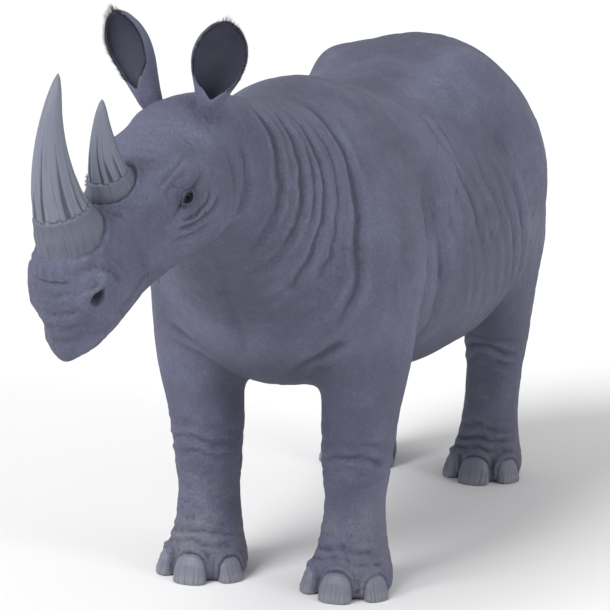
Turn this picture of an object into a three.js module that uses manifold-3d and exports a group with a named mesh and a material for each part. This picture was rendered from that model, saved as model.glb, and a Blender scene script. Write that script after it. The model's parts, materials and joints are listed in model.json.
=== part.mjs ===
// A life-size black rhinoceros, standing square with its head up and turned a little to its right.
//
// Millimetres, +Z up. The animal faces -Y, its left side is +X, and it stands on z = 0. Each length of the
// body is a loft: rings set along a line of named stations, with a half width, a reach up (or ahead) and a
// reach down (or behind) at each. The lofts are joined, and thin cuts part them into the animal's sub-parts.
import * as THREE from "three";
import { mergeVertices } from "three/addons/utils/BufferGeometryUtils.js";
import Module from "manifold-3d";

const wasm = await Module();
wasm.setup();

// ---- Driving dimensions ---------------------------------------------------------------------------------

const GAP = 0.4; // between neighbouring sub-parts
const HEAD_JOINT = new THREE.Vector3(-28, -1130, 1530); // where the skull meets the neck
const HEAD_PITCH = 27; // degrees the face slopes down from level
const HEAD_YAW = 13; // degrees the head turns to the animal's right
const EAR_LENGTH = 285;
const EAR_WALL = 11;
const EAR_SPREAD = { 1: 20, "-1": 26 }; // degrees each ear leans outwards, left and right
const EAR_TURN = { 1: 30, "-1": 2 }; // degrees each ear's opening is turned to the animal's left
const EYE_RADIUS = 25;
const EYE_CENTRE = { out: 160, down: 318, high: 34 }; // in the head's frame
const NOSTRIL_CENTRE = { out: 130, down: 722, high: -4 };
const HORN_FRONT = 455; // length above the nose
const HORN_REAR = 270;
const HORN_LEAN = 11; // degrees both lean back from square to the face
const TAIL_TIP = 560; // height of the last bristles above the floor
const BRISTLE_ROOT = 735; // height where the tail's skin ends
const FORE_STANCE = 245; // from the midline to the middle of a forefoot
const HIND_STANCE = 228;
const FORE_FOOT_Y = -610;
const HIND_FOOT_Y = 706;

const deg = THREE.MathUtils.degToRad;
const X = new THREE.Vector3(1, 0, 0);
const Z = new THREE.Vector3(0, 0, 1);
const AHEAD = new THREE.Vector3(0, -1, 0);

// ---- Shaping ----------------------------------------------------------------------------------------------

// A closed geometry as a solid, its faces pointing out.
function solid(geometry) {
  geometry.deleteAttribute("normal");
  geometry.deleteAttribute("uv");
  const merged = mergeVertices(geometry, 0.01);
  const triVerts = new Uint32Array(merged.index.array);
  const build = () =>
    new wasm.Manifold(
      new wasm.Mesh({ numProp: 3, vertProperties: merged.attributes.position.array, triVerts }),
    );
  const made = build();
  if (made.volume() > 0) return made;
  for (let i = 0; i < triVerts.length; i += 3) {
    [triVerts[i], triVerts[i + 1]] = [triVerts[i + 1], triVerts[i]];
  }
  return build();
}

const vectors = (rows) => rows.map((row) => new THREE.Vector3(...row));
const smoothLine = (points) => new THREE.CatmullRomCurve3(points, false, "centripetal");

// How far a ring reaches across and up at an angle round it: an ellipse where square is 2, boxier above.
function ringReach(angle, square) {
  const bend = (reach) => Math.sign(reach) * Math.abs(reach) ** (2 / square);
  return [bend(Math.cos(angle)), bend(Math.sin(angle))];
}

function squareAt(stations, t) {
  const place = t * (stations.length - 1);
  const low = Math.min(Math.floor(place), stations.length - 2);
  return THREE.MathUtils.lerp(stations[low].square ?? 2, stations[low + 1].square ?? 2, place - low);
}

// Swells are rounded bumps of { at, reach, height }, the height measured away from the ring's middle.
function swellAt(point, swells) {
  const rise = ({ at, reach, height }) =>
    height * Math.exp(-((point.distanceTo(new THREE.Vector3(...at)) / reach) ** 2));
  return swells.reduce((sum, swell) => sum + rise(swell), 0);
}

// Rings along a line of stations. A station is { at: [x, y, z], size: [side, up, down], square }: side lies
// along X and up along the given direction. grow widens every ring and carries the two ends outwards.
function loft(stations, { up = Z, around, along, grow = 0, swells = [], matrix }) {
  const middles = smoothLine(vectors(stations.map((s) => s.at)));
  const sizes = smoothLine(vectors(stations.map((s) => s.size)));
  const geometry = new THREE.CylinderGeometry(1, 1, 1, around, along);
  const position = geometry.getAttribute("position");
  const point = new THREE.Vector3();
  const lean = new THREE.Vector3();
  for (let i = 0; i < position.count; i++) {
    point.fromBufferAttribute(position, i);
    const t = THREE.MathUtils.clamp(0.5 - point.y, 0, 1);
    const fromAxis = Math.hypot(point.x, point.z);
    const [across, high] = ringReach(Math.atan2(point.z, point.x), squareAt(stations, t));
    const size = sizes.getPoint(t);
    lean.copy(X).multiplyScalar(across * (size.x + grow) * fromAxis);
    lean.addScaledVector(up, high * ((high > 0 ? size.y : size.z) + grow) * fromAxis);
    point.copy(middles.getPoint(t)).add(lean);
    point.addScaledVector(lean.normalize(), swellAt(point, swells) * fromAxis);
    if (t === 0) point.addScaledVector(middles.getTangent(0), -grow);
    if (t === 1) point.addScaledVector(middles.getTangent(1), grow);
    position.setXYZ(i, point.x, point.y, point.z);
  }
  if (matrix) geometry.applyMatrix4(matrix);
  return solid(geometry);
}

// The same swell on the left side and on the right.
function onBothSides(swell) {
  const [x, y, z] = swell.at;
  return [swell, { ...swell, at: [-x, y, z] }];
}

const HUGE = 8000;

// Everything on the side of a plane that its normal points to.
function halfSpace(point, normal) {
  const box = new THREE.BoxGeometry(HUGE, HUGE, HUGE);
  box.translate(0, 0, HUGE / 2);
  box.applyQuaternion(new THREE.Quaternion().setFromUnitVectors(Z, normal));
  box.translate(point.x, point.y, point.z);
  return solid(box);
}

// A solid cut in two by a plane, with a gap left between: the part that the normal points to comes first.
function slice(whole, point, normal) {
  const side = normal.clone().normalize();
  const ahead = point.clone().addScaledVector(side, GAP / 2);
  const behind = point.clone().addScaledVector(side, -GAP / 2);
  return [
    whole.intersect(halfSpace(ahead, side)),
    whole.intersect(halfSpace(behind, side.clone().negate())),
  ];
}

const join = (solids) => solids.reduce((sum, next) => sum.add(next));

// ---- Trunk ------------------------------------------------------------------------------------------------

// From the chest back to the rump. The ring's middle is its widest level, about a third of the way up.
function ringAt(y, top, bottom, half, middle, square) {
  return { at: [0, y, middle], size: [half, top - middle, middle - bottom], square };
}

const TRUNK = [
  ringAt(-930, 1080, 930, 60, 1010),
  ringAt(-890, 1260, 800, 190, 1020),
  ringAt(-790, 1430, 700, 300, 1020),
  ringAt(-630, 1545, 632, 368, 1000, 2.1),
  ringAt(-450, 1590, 604, 390, 970, 2.1), // withers
  ringAt(-240, 1534, 572, 424, 940, 2.15),
  ringAt(0, 1472, 534, 458, 915, 2.15), // hollow of the back
  ringAt(240, 1484, 522, 468, 905, 2.15), // deepest of the belly
  ringAt(460, 1530, 580, 442, 940, 2.15),
  ringAt(640, 1538, 672, 414, 1000, 2.1), // croup
  ringAt(800, 1470, 738, 372, 1040, 2.1),
  ringAt(920, 1342, 800, 292, 1060, 2.1),
  ringAt(976, 1200, 900, 124, 1060),
];

const TRUNK_SWELLS = [
  ...onBothSides({ at: [340, -600, 1180], reach: 230, height: 36 }), // shoulder blade
  ...onBothSides({ at: [330, -790, 960], reach: 160, height: 26 }), // point of the shoulder
  ...onBothSides({ at: [340, 600, 1180], reach: 260, height: 34 }), // haunch
  ...onBothSides({ at: [250, 460, 1430], reach: 120, height: 24 }), // hip bone
];

// ---- Neck and head --------------------------------------------------------------------------------------

const NECK = [
  { at: [0, -480, 1130], size: [350, 415, 500] },
  { at: [0, -690, 1190], size: [325, 378, 470] },
  { at: [-3, -860, 1260], size: [290, 330, 430] },
  { at: [-10, -1010, 1350], size: [246, 285, 352] },
  { at: [-28, -1140, 1440], size: [195, 215, 268] },
  { at: [-55, -1290, 1480], size: [100, 100, 110] },
];

// The head's own frame: its origin is the joint with the neck, -Y runs down the face and Z stands on it.
const headMatrix = new THREE.Matrix4()
  .makeTranslation(HEAD_JOINT)
  .multiply(new THREE.Matrix4().makeRotationZ(deg(-HEAD_YAW)))
  .multiply(new THREE.Matrix4().makeRotationX(deg(HEAD_PITCH)));

// A ring of the head, by how far it is down the face.
function faceRing(down, middle, top, bottom, half, square) {
  return { at: [0, -down, middle], size: [half, top - middle, middle - bottom], square };
}

const HEAD = [
  faceRing(-70, 0, 95, -130, 105),
  faceRing(30, 0, 172, -200, 150),
  faceRing(125, -5, 184, -240, 172, 2.2), // crest and angle of the jaw
  faceRing(230, -5, 162, -240, 188, 2.3), // cheekbones
  faceRing(325, -10, 136, -220, 176, 2.4), // eyes
  faceRing(420, -20, 128, -204, 149, 2.5), // seat of the rear horn
  faceRing(515, -28, 120, -190, 131, 2.6),
  faceRing(605, -34, 128, -196, 127, 2.6),
  faceRing(680, -42, 126, -206, 127, 2.7), // seat of the front horn
  faceRing(738, -58, 100, -212, 119, 2.6), // nostrils
  faceRing(784, -84, 50, -212, 98, 2.4),
  faceRing(814, -114, -16, -206, 64, 2.2),
  faceRing(826, -135, -84, -186, 22, 2),
];

const HEAD_SWELLS = [
  ...onBothSides({ at: [150, -282, 100], reach: 62, height: 24 }), // brow
  ...onBothSides({ at: [178, -226, 0], reach: 80, height: 12 }), // cheekbone
  ...onBothSides({ at: [140, -150, -140], reach: 105, height: 22 }), // cheek
  ...onBothSides({ at: [112, -708, 6], reach: 52, height: 16 }), // nostril
  { at: [0, -640, 130], reach: 100, height: 16 }, // boss under the front horn
  { at: [0, -424, 128], reach: 80, height: 14 }, // boss under the rear horn
  { at: [0, -812, -160], reach: 66, height: 22 }, // hooked upper lip
];

const MOUTH_FRONT = new THREE.Vector3(0, -806, -156).applyMatrix4(headMatrix);
const MOUTH_BACK = new THREE.Vector3(0, -60, -80).applyMatrix4(headMatrix);

function nostrils() {
  return [-1, 1].map((side) => {
    const pit = new THREE.SphereGeometry(1, 8, 5);
    pit.scale(20, 34, 17);
    pit.rotateX(deg(-28));
    pit.rotateZ(deg(-18 * side));
    pit.translate(NOSTRIL_CENTRE.out * side, -NOSTRIL_CENTRE.down, NOSTRIL_CENTRE.high);
    return solid(pit.applyMatrix4(headMatrix));
  });
}

function eye(side, grow = 0) {
  const ball = new THREE.SphereGeometry(EYE_RADIUS + grow, 10, 6);
  ball.rotateX(Math.PI / 2);
  ball.translate(EYE_CENTRE.out * side, -EYE_CENTRE.down, EYE_CENTRE.high);
  return solid(ball.applyMatrix4(headMatrix));
}

// An ear stands on the back corner of the head and opens forwards. The cavity runs out through its front.
function earMatrix(side) {
  return headMatrix
    .clone()
    .multiply(new THREE.Matrix4().makeTranslation(104 * side, -52, 142))
    .multiply(new THREE.Matrix4().makeRotationY(deg(EAR_SPREAD[side] * side)))
    .multiply(new THREE.Matrix4().makeRotationX(deg(-20)))
    .multiply(new THREE.Matrix4().makeRotationZ(deg(EAR_TURN[side])));
}

// Share of the ear's length, half width, reach ahead and reach behind.
const EAR_RINGS = [
  [-0.16, 28, 24, 26],
  [0.02, 38, 32, 36],
  [0.2, 52, 36, 46],
  [0.42, 74, 36, 54],
  [0.65, 80, 32, 52],
  [0.84, 62, 22, 38],
  [0.96, 32, 11, 19],
  [1, 8, 4, 6],
];

function earShell(side, grow = 0) {
  const rings = EAR_RINGS.map(([share, half, front, back]) => ({
    at: [0, 0, share * EAR_LENGTH],
    size: [half, front, back],
  }));
  return loft(rings, { up: AHEAD, around: 10, along: 7, grow, matrix: earMatrix(side) });
}

function earCavity(side) {
  const rings = EAR_RINGS.slice(1, -2).map(([share, half, front, back], i) => ({
    at: [0, 0, share * EAR_LENGTH + (i === 0 ? 24 : 6)],
    size: [half - EAR_WALL, i === 0 ? front - EAR_WALL : front + 16, back - EAR_WALL],
  }));
  return loft(rings, { up: AHEAD, around: 10, along: 4, matrix: earMatrix(side) });
}

// ---- Horns ------------------------------------------------------------------------------------------------

// Share of the horn's length, half width, reach ahead, reach behind and how far it has swept backwards.
const HORN_RINGS = [
  [-0.08, 0.88, 0.88, 0.88, 0],
  [0.04, 1, 1, 1, 0],
  [0.12, 0.87, 0.86, 0.88, -0.02],
  [0.3, 0.72, 0.7, 0.72, -0.045],
  [0.52, 0.54, 0.53, 0.55, -0.03],
  [0.74, 0.36, 0.35, 0.37, 0.04],
  [0.92, 0.18, 0.17, 0.18, 0.145],
  [1, 0.05, 0.05, 0.05, 0.2],
];

// down and height place the middle of a horn's base in the head's frame. sweep is how much it curves.
const FRONT_HORN = { length: HORN_FRONT, half: 90, deep: 106, down: 642, height: 128, sweep: 1 };
const REAR_HORN = { length: HORN_REAR, half: 66, deep: 80, down: 424, height: 116, sweep: 0.6 };

function horn({ length, half, deep, down, height, sweep }, grow = 0) {
  const rings = HORN_RINGS.map(([share, w, f, b, swept]) => ({
    at: [0, swept * sweep * length, share * length],
    size: [w * half, f * deep, b * deep],
  }));
  const seat = headMatrix
    .clone()
    .multiply(new THREE.Matrix4().makeTranslation(0, -down, height))
    .multiply(new THREE.Matrix4().makeRotationX(deg(-HORN_LEAN)));
  return loft(rings, { up: AHEAD, around: 14, along: 8, grow, matrix: seat });
}

// ---- Legs -------------------------------------------------------------------------------------------------

const FORE_LEG = [
  { at: [232, -630, 1120], size: [110, 150, 140] },
  { at: [262, -610, 960], size: [136, 215, 215] }, // shoulder
  { at: [272, -570, 790], size: [142, 195, 200], square: 2.1 }, // elbow
  { at: [264, -570, 610], size: [124, 152, 150], square: 2.2 }, // forearm
  { at: [252, -588, 430], size: [108, 118, 114], square: 2.3 }, // knee
  { at: [247, -592, 270], size: [97, 100, 102], square: 2.3 }, // cannon
  { at: [FORE_STANCE, FORE_FOOT_Y + 5, 150], size: [106, 108, 110], square: 2.2 }, // fetlock
  { at: [FORE_STANCE, FORE_FOOT_Y - 4, 62], size: [128, 134, 122], square: 2.2 },
  { at: [FORE_STANCE, FORE_FOOT_Y - 8, 16], size: [131, 138, 122], square: 2.2 },
  { at: [FORE_STANCE, FORE_FOOT_Y - 8, 0], size: [118, 125, 110], square: 2.2 }, // sole
];

const HIND_LEG = [
  { at: [200, 636, 1240], size: [110, 160, 170] },
  { at: [240, 640, 1080], size: [150, 265, 270] }, // hip
  { at: [272, 622, 880], size: [156, 262, 300], square: 2.1 }, // thigh
  { at: [272, 648, 690], size: [132, 200, 225], square: 2.1 }, // stifle
  { at: [254, 710, 540], size: [110, 140, 158], square: 2.2 },
  { at: [241, 746, 420], size: [98, 108, 128], square: 2.2 }, // hock
  { at: [234, 744, 280], size: [89, 94, 100], square: 2.2 }, // cannon
  { at: [HIND_STANCE, HIND_FOOT_Y + 12, 150], size: [97, 100, 102], square: 2.2 }, // fetlock
  { at: [HIND_STANCE, HIND_FOOT_Y, 62], size: [118, 126, 112], square: 2.2 },
  { at: [HIND_STANCE, HIND_FOOT_Y - 4, 16], size: [120, 130, 112], square: 2.2 },
  { at: [HIND_STANCE, HIND_FOOT_Y - 4, 0], size: [108, 118, 100], square: 2.2 }, // sole
];

// A foot's three toes, by degrees round from straight ahead towards the outside.
const TOES = { inner: -58, middle: 0, outer: 58 };

function toeCentre(foot, toe, height, inset) {
  const round = deg(TOES[toe]);
  return [
    foot.x + (foot.half - inset) * Math.sin(round),
    foot.y - (foot.front - inset) * Math.cos(round),
    height,
  ];
}

const FEET = {
  fore: { x: FORE_STANCE, y: FORE_FOOT_Y - 8, half: 131, front: 138 },
  hind: { x: HIND_STANCE, y: HIND_FOOT_Y - 4, half: 120, front: 130 },
};

function leg(stations, foot, side, grow = 0) {
  const swells = Object.keys(TOES).map((toe) => ({
    at: toeCentre(foot, toe, 50, 0),
    reach: toe === "middle" ? 62 : 54,
    height: 16,
  }));
  const mirror = new THREE.Matrix4().makeScale(side, 1, 1);
  return loft(stations, { up: AHEAD, around: 14, along: 13, grow, swells, matrix: mirror });
}

// A nail is a rounded shield set into the front of its toe, clear of the floor.
function nail(foot, toe, side, grow = 0) {
  const wide = toe === "middle" ? 50 : 38;
  const tall = toe === "middle" ? 44 : 38;
  const shield = new THREE.SphereGeometry(1, 8, 4);
  shield.rotateX(Math.PI / 2);
  shield.scale(wide + grow, 26 + grow, tall + grow);
  shield.rotateX(deg(-16));
  shield.rotateZ(deg(TOES[toe]));
  shield.translate(...toeCentre(foot, toe, 40, 4));
  shield.applyMatrix4(new THREE.Matrix4().makeScale(side, 1, 1));
  return solid(shield).intersect(halfSpace(new THREE.Vector3(0, 0, 6 - grow), Z));
}

// ---- Tail -------------------------------------------------------------------------------------------------

const TAIL = [
  { at: [0, 882, 1350], size: [36, 38, 36] },
  { at: [0, 957, 1285], size: [38, 36, 36] },
  { at: [3, 1004, 1150], size: [29, 27, 28] },
  { at: [8, 1020, 980], size: [23, 20, 20] },
  { at: [12, 1022, 820], size: [19, 14, 14] },
  { at: [14, 1018, 735], size: [20, 12, 12] },
  { at: [16, 1012, 650], size: [27, 15, 15] }, // bristles
  { at: [18, 1006, 590], size: [20, 11, 11] },
  { at: [19, 1003, TAIL_TIP], size: [6, 4, 4] },
];

const tailLoft = (grow) => loft(TAIL, { up: AHEAD, around: 8, along: 9, grow });

// ---- Parting the animal -----------------------------------------------------------------------------------

const HIDE = new THREE.MeshStandardMaterial({ color: 0x636577, roughness: 0.85, metalness: 0 });
const EAR_SKIN = new THREE.MeshStandardMaterial({ color: 0x44444f, roughness: 0.85, metalness: 0 });
const HORN = new THREE.MeshStandardMaterial({ color: 0x83889a, roughness: 0.55, metalness: 0 });
const NAIL = new THREE.MeshStandardMaterial({ color: 0x848697, roughness: 0.5, metalness: 0 });
const EYE = new THREE.MeshStandardMaterial({ color: 0x151515, roughness: 0.1, metalness: 0 });
const BRISTLE = new THREE.MeshStandardMaterial({ color: 0x1f1f24, roughness: 0.6, metalness: 0 });

const animal = new THREE.Group();

// A solid as a named mesh in a group.
function put(group, name, body, material) {
  const mesh = body.getMesh();
  const geometry = new THREE.BufferGeometry();
  const position = new Float32Array(mesh.vertProperties);
  geometry.setAttribute("position", new THREE.BufferAttribute(position, 3));
  geometry.setIndex(new THREE.BufferAttribute(new Uint32Array(mesh.triVerts), 1));
  geometry.computeVertexNormals();
  const made = new THREE.Mesh(geometry, material);
  made.name = name;
  group.add(made);
}

let flesh = join([
  loft(TRUNK, { around: 22, along: 17, swells: TRUNK_SWELLS }),
  loft(NECK, { around: 18, along: 6 }),
  loft(HEAD, { around: 18, along: 16, swells: HEAD_SWELLS, matrix: headMatrix }),
]);

// Each leg is parted from the trunk under a slanting plane, high on the outside and low at the armpit. What
// is above the plane stays on the trunk as the shoulder or the haunch.
const LEGS = {
  front: { stations: FORE_LEG, foot: FEET.fore, tilt: 44, under: 655, knee: 430, fetlock: 150 },
  hind: { stations: HIND_LEG, foot: FEET.hind, tilt: 44, under: 700, knee: 430, fetlock: 150 },
};

for (const [end, plan] of Object.entries(LEGS)) {
  for (const [hand, side] of [["left", 1], ["right", -1]]) {
    const where = `${end}_${hand}`;
    const group = new THREE.Group();
    const slope = new THREE.Vector3(side * Math.sin(deg(plan.tilt)), 0, -Math.cos(deg(plan.tilt)));
    const armpit = new THREE.Vector3(side * 140, 0, plan.under);
    const whole = leg(plan.stations, plan.foot, side);
    const [limb] = slice(whole, armpit, slope);
    const pocket = leg(plan.stations, plan.foot, side, GAP).intersect(
      halfSpace(armpit.clone().addScaledVector(slope, -GAP / 2), slope),
    );
    flesh = flesh.add(whole).subtract(pocket);
    const [upper, rest] = slice(limb, new THREE.Vector3(0, 0, plan.knee), Z);
    const [lower, below] = slice(rest, new THREE.Vector3(0, 0, plan.fetlock), Z);
    let foot = below;
    for (const toe of Object.keys(TOES)) {
      put(group, `nail_${where}_${toe}`, nail(plan.foot, toe, side), NAIL);
      foot = foot.subtract(nail(plan.foot, toe, side, GAP));
    }
    put(group, `leg_${where}_upper`, upper, HIDE);
    put(group, `leg_${where}_lower`, lower, HIDE);
    put(group, `foot_${where}`, foot, HIDE);
    animal.add(group);
  }
}

// The tail is set into the rump, and its bristles are parted from its skin.
const [tail, tuft] = slice(tailLoft(0), new THREE.Vector3(0, 0, BRISTLE_ROOT), Z);
flesh = flesh.subtract(tailLoft(GAP));
put(animal, "tail", tail, HIDE);
put(animal, "tail_tuft", tuft, BRISTLE);

// The trunk is parted across the withers and the loin, the neck at its base and at the skull.
const neckBase = new THREE.Vector3(0, -800, 1240);
const neckLean = new THREE.Vector3(0, -0.92, 0.4);
const skullBack = new THREE.Vector3(0, 30, 0).applyMatrix4(headMatrix);
const faceward = AHEAD.clone().applyAxisAngle(Z, deg(-HEAD_YAW));
const [front, trunk] = slice(flesh, neckBase, neckLean);
const [skull, neck] = slice(front, skullBack, faceward);
const [forequarters, behind] = slice(trunk, new THREE.Vector3(0, -300, 0), AHEAD);
const [barrel, hindquarters] = slice(behind, new THREE.Vector3(0, 520, 0), AHEAD);
put(animal, "forequarters", forequarters, HIDE);
put(animal, "barrel", barrel, HIDE);
put(animal, "hindquarters", hindquarters, HIDE);
put(animal, "neck", neck, HIDE);

// The head, with its horns, eyes and ears let into it and the jaw parted along the mouth.
const face = new THREE.Group();
let head = skull;
for (const pit of nostrils()) head = head.subtract(pit);
for (const [hand, side] of [["left", 1], ["right", -1]]) {
  put(face, `ear_${hand}`, earShell(side).subtract(earCavity(side)), EAR_SKIN);
  put(face, `eye_${hand}`, eye(side), EYE);
  head = head.subtract(earShell(side, GAP)).subtract(eye(side, GAP));
}
head = head.subtract(horn(FRONT_HORN, GAP)).subtract(horn(REAR_HORN, GAP));
put(face, "horn_front", horn(FRONT_HORN), HORN);
put(face, "horn_rear", horn(REAR_HORN), HORN);
const jawUp = new THREE.Vector3()
  .crossVectors(MOUTH_FRONT.clone().sub(MOUTH_BACK), X.clone().transformDirection(headMatrix))
  .normalize();
const [upperHead, lowerJaw] = slice(head, MOUTH_FRONT, jawUp.z > 0 ? jawUp : jawUp.negate());
put(face, "head", upperHead, HIDE);
put(face, "lower_jaw", lowerJaw, HIDE);
animal.add(face);

// The origin is on the floor, under the middle of the whole.
const extent = new THREE.Box3().setFromObject(animal, true);
const middle = extent.getCenter(new THREE.Vector3());
animal.position.set(-middle.x, -middle.y, -extent.min.z);

export default animal;
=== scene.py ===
import contextlib
import itertools
import json
import math

import bmesh
import bpy
import numpy as np
from mathutils import Matrix, Vector


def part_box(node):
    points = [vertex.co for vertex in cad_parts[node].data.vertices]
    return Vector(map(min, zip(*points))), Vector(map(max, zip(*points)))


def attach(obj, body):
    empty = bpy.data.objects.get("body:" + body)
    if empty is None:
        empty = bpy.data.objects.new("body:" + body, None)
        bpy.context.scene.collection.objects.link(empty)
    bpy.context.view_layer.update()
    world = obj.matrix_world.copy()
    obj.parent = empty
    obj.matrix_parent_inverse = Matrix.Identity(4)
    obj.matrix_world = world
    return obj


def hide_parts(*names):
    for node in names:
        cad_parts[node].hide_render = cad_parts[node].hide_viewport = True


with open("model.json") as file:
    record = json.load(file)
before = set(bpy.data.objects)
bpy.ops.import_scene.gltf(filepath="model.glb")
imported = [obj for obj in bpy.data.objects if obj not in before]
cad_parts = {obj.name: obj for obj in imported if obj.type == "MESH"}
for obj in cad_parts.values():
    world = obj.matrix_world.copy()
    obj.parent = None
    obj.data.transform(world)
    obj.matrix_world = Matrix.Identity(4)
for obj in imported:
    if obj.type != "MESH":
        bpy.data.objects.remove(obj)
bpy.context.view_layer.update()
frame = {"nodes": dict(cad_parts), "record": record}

# ---- The hide: its first net ---------------------------------------------------------------------
# A rhinoceros's hide is one thick, nearly bare skin. The frame's parted solids are joined and skinned over
# with a fine net, and the facets are eased out of it, so that trunk, neck, head, legs and tail are one.


def nodes_of(slot):
    return [row["node"] for row in frame["record"]["subparts"] if row["material_slot"] == slot]


def middle_of(node):
    low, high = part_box(node)
    return (low + high) / 2


def piece_from(name, shape):
    """A bmesh as a new object, shaded smooth."""
    mesh = bpy.data.meshes.new(name)
    shape.to_mesh(mesh)
    shape.free()
    mesh.shade_smooth()
    thing = bpy.data.objects.new(name, mesh)
    bpy.context.scene.collection.objects.link(thing)
    return thing


def settle(thing):
    """Makes what a piece's modifiers show its own mesh."""
    bpy.context.view_layer.update()
    shown = thing.evaluated_get(bpy.context.evaluated_depsgraph_get())
    mesh = bpy.data.meshes.new_from_object(shown)
    thing.modifiers.clear()
    thing.data = mesh
    mesh.shade_smooth()


# The head's own axes: X to its left, -Y down the face, Z standing on the face. Its origin is at the neck.
HEAD_PITCH = math.radians(27)
EYE_DOWN, EYE_HIGH = 0.318, 0.034
eyes_apart = middle_of("eye_left") - middle_of("eye_right")
between_eyes = (middle_of("eye_left") + middle_of("eye_right")) / 2
HEAD_YAW = math.atan2(eyes_apart.y, eyes_apart.x)
skull = Matrix.Translation(between_eyes)
skull @= Matrix.Rotation(HEAD_YAW, 4, "Z") @ Matrix.Rotation(HEAD_PITCH, 4, "X")
skull @= Matrix.Translation((0, EYE_DOWN, -EYE_HIGH))


def on_face(out, down, high):
    return skull @ Vector((out, -down, high))


PARTING = 0.0006  # the solids are swollen by this, so that the cuts between them close


SAME_PLACE = 1e-5  # corners closer than this are one


def merged_copy(node, swell=0.0, shrink=1.0):
    """A node's solid with its shared corners merged, swollen outwards or shrunk about its middle."""
    copy = bmesh.new()
    copy.from_mesh(frame["nodes"][node].data)
    bmesh.ops.remove_doubles(copy, verts=copy.verts, dist=SAME_PLACE)
    copy.normal_update()
    heart = middle_of(node)
    for corner in copy.verts:
        corner.co = heart + (corner.co - heart) * shrink + corner.normal * swell
    return copy


def add_to(whole, part):
    mesh = bpy.data.meshes.new("part")
    part.to_mesh(mesh)
    part.free()
    whole.from_mesh(mesh)
    bpy.data.meshes.remove(mesh)


# Plugs fill the hollows that the eyes, horns and nails leave in the solids.
HORN_SEATS = {"horn_front": (0.642, 0.128), "horn_rear": (0.424, 0.116)}  # down the face, height on it
PLUG_RISE = 0.006  # how far a horn's plug stands above its seat
NAIL_PLUG_SIZE = 0.84
flesh = bmesh.new()
for node in nodes_of("hide"):
    add_to(flesh, merged_copy(node, PARTING))
for node in nodes_of("eye"):
    add_to(flesh, merged_copy(node, PARTING))
for node in nodes_of("nail"):
    add_to(flesh, merged_copy(node, shrink=NAIL_PLUG_SIZE))
for node, (down, height) in HORN_SEATS.items():
    plug = merged_copy(node, PARTING)
    seat_top = on_face(0, down, height + PLUG_RISE)
    face_up = skull.to_3x3() @ Vector((0, 0, 1))
    whole = plug.verts[:] + plug.edges[:] + plug.faces[:]
    cut = bmesh.ops.bisect_plane(plug, geom=whole, plane_co=seat_top, plane_no=face_up, clear_outer=True)
    rim = [e for e in cut["geom_cut"] if isinstance(e, bmesh.types.BMEdge)]
    bmesh.ops.holes_fill(plug, edges=rim, sides=0)
    add_to(flesh, plug)
hide = piece_from("hide", flesh)


def net_over(thing, mesh_size):
    net = thing.modifiers.new("net", "REMESH")
    net.mode = "VOXEL"
    net.voxel_size = mesh_size
    settle(thing)


HIDE_NET = 0.012
net_over(hide, HIDE_NET)


def rows_of(data, name, width, kind=float):
    """What a mesh holds under a name, as rows of numbers."""
    flat = np.empty(len(data) * width, kind)
    data.foreach_get(name, flat)
    return flat.reshape(-1, width)


def points_of(mesh):
    return rows_of(mesh.vertices, "co", 3)


def normals_of(mesh):
    return rows_of(mesh.vertex_normals, "vector", 3)


def edges_of(mesh):
    return rows_of(mesh.edges, "vertices", 2, np.int32)


def set_points(mesh, points):
    mesh.vertices.foreach_set("co", points.ravel())
    mesh.update()


def step(value, low, high):
    """0 below low, 1 above high, and smooth between; it runs the other way where low is the higher."""
    t = np.clip((value - low) / (high - low), 0, 1)
    return t * t * (3 - 2 * t)


def bell(distance, reach):
    return np.exp(-((distance / reach) ** 2))


def lengths_of(rows):
    return np.linalg.norm(rows, axis=-1)


def unit(rows):
    return rows / lengths_of(rows)[..., None]


def far_from(points, place):
    """How far each point is from a place, or from the nearest of several."""
    places = np.atleast_2d(np.array(place))
    return np.min([lengths_of(points - place) for place in places], axis=0)


def ease(points, edges, rounds, share):
    """Moves each point towards the mean of its neighbours, by its own share, a number of times."""
    share = share * np.ones(len(points))
    touching = edges[(share[edges] > 0.001).any(1)]
    moving = np.unique(touching)
    number = np.zeros(len(points), int)
    number[moving] = np.arange(len(moving))
    one, two = number[touching].T
    part, share, many = points[moving], share[moving, None], len(moving)
    count = np.bincount(one, minlength=many) + np.bincount(two, minlength=many)
    for _ in range(rounds):
        axes = []
        for k in range(points.shape[1]):
            axes.append(np.bincount(one, part[two, k], many) + np.bincount(two, part[one, k], many))
        part = part + share * (np.stack(axes, 1) / count[:, None] - part)
    points = points.copy()
    points[moving] = part
    return points


def ease_in_place(points, edges, rounds, share):
    """Eases the facets, then gives back what the easing shrank."""
    eased = ease(points, edges, rounds, share)
    return eased + ease(points - eased, edges, rounds, share)


def moved(matrix, points):
    """Points carried by a matrix."""
    turn = np.array(matrix)
    return points @ turn[:3, :3].T + turn[:3, 3]


def in_head(points):
    """Points in the head's own axes."""
    return moved(skull.inverted(), points)


# The facets are eased out of the net: most on the trunk, less on the head and legs, hardly on the thin tail.
points = points_of(hide.data)
edges = edges_of(hide.data)
feet = [node for node in nodes_of("hide") if node.startswith("foot")]
in_legs = np.zeros(len(points))
for foot in feet:
    x, y, _ = middle_of(foot)
    off = np.hypot(points[:, 0] - x, points[:, 1] - y)
    in_legs = np.maximum(in_legs, step(off, 0.34, 0.2) * step(points[:, 2], 0.85, 0.6))
in_head_part = step(-in_head(points)[:, 1], 0.0, 0.16)
_, rump_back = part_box("hindquarters")
behind_rump = step(points[:, 1], rump_back.y - 0.03, rump_back.y + 0.02)
in_tail = behind_rump * step(np.abs(points[:, 0]), 0.09, 0.06)
in_trunk = (1 - in_legs) * (1 - in_head_part) * (1 - in_tail)
points = ease_in_place(points, edges, 14, 0.5 * (1 - in_tail * 0.7))
points = ease_in_place(points, edges, 20, 0.5 * np.maximum(in_head_part * 0.9, in_legs * 0.6))
points = ease_in_place(points, edges, 140, 0.5 * in_trunk)
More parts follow.
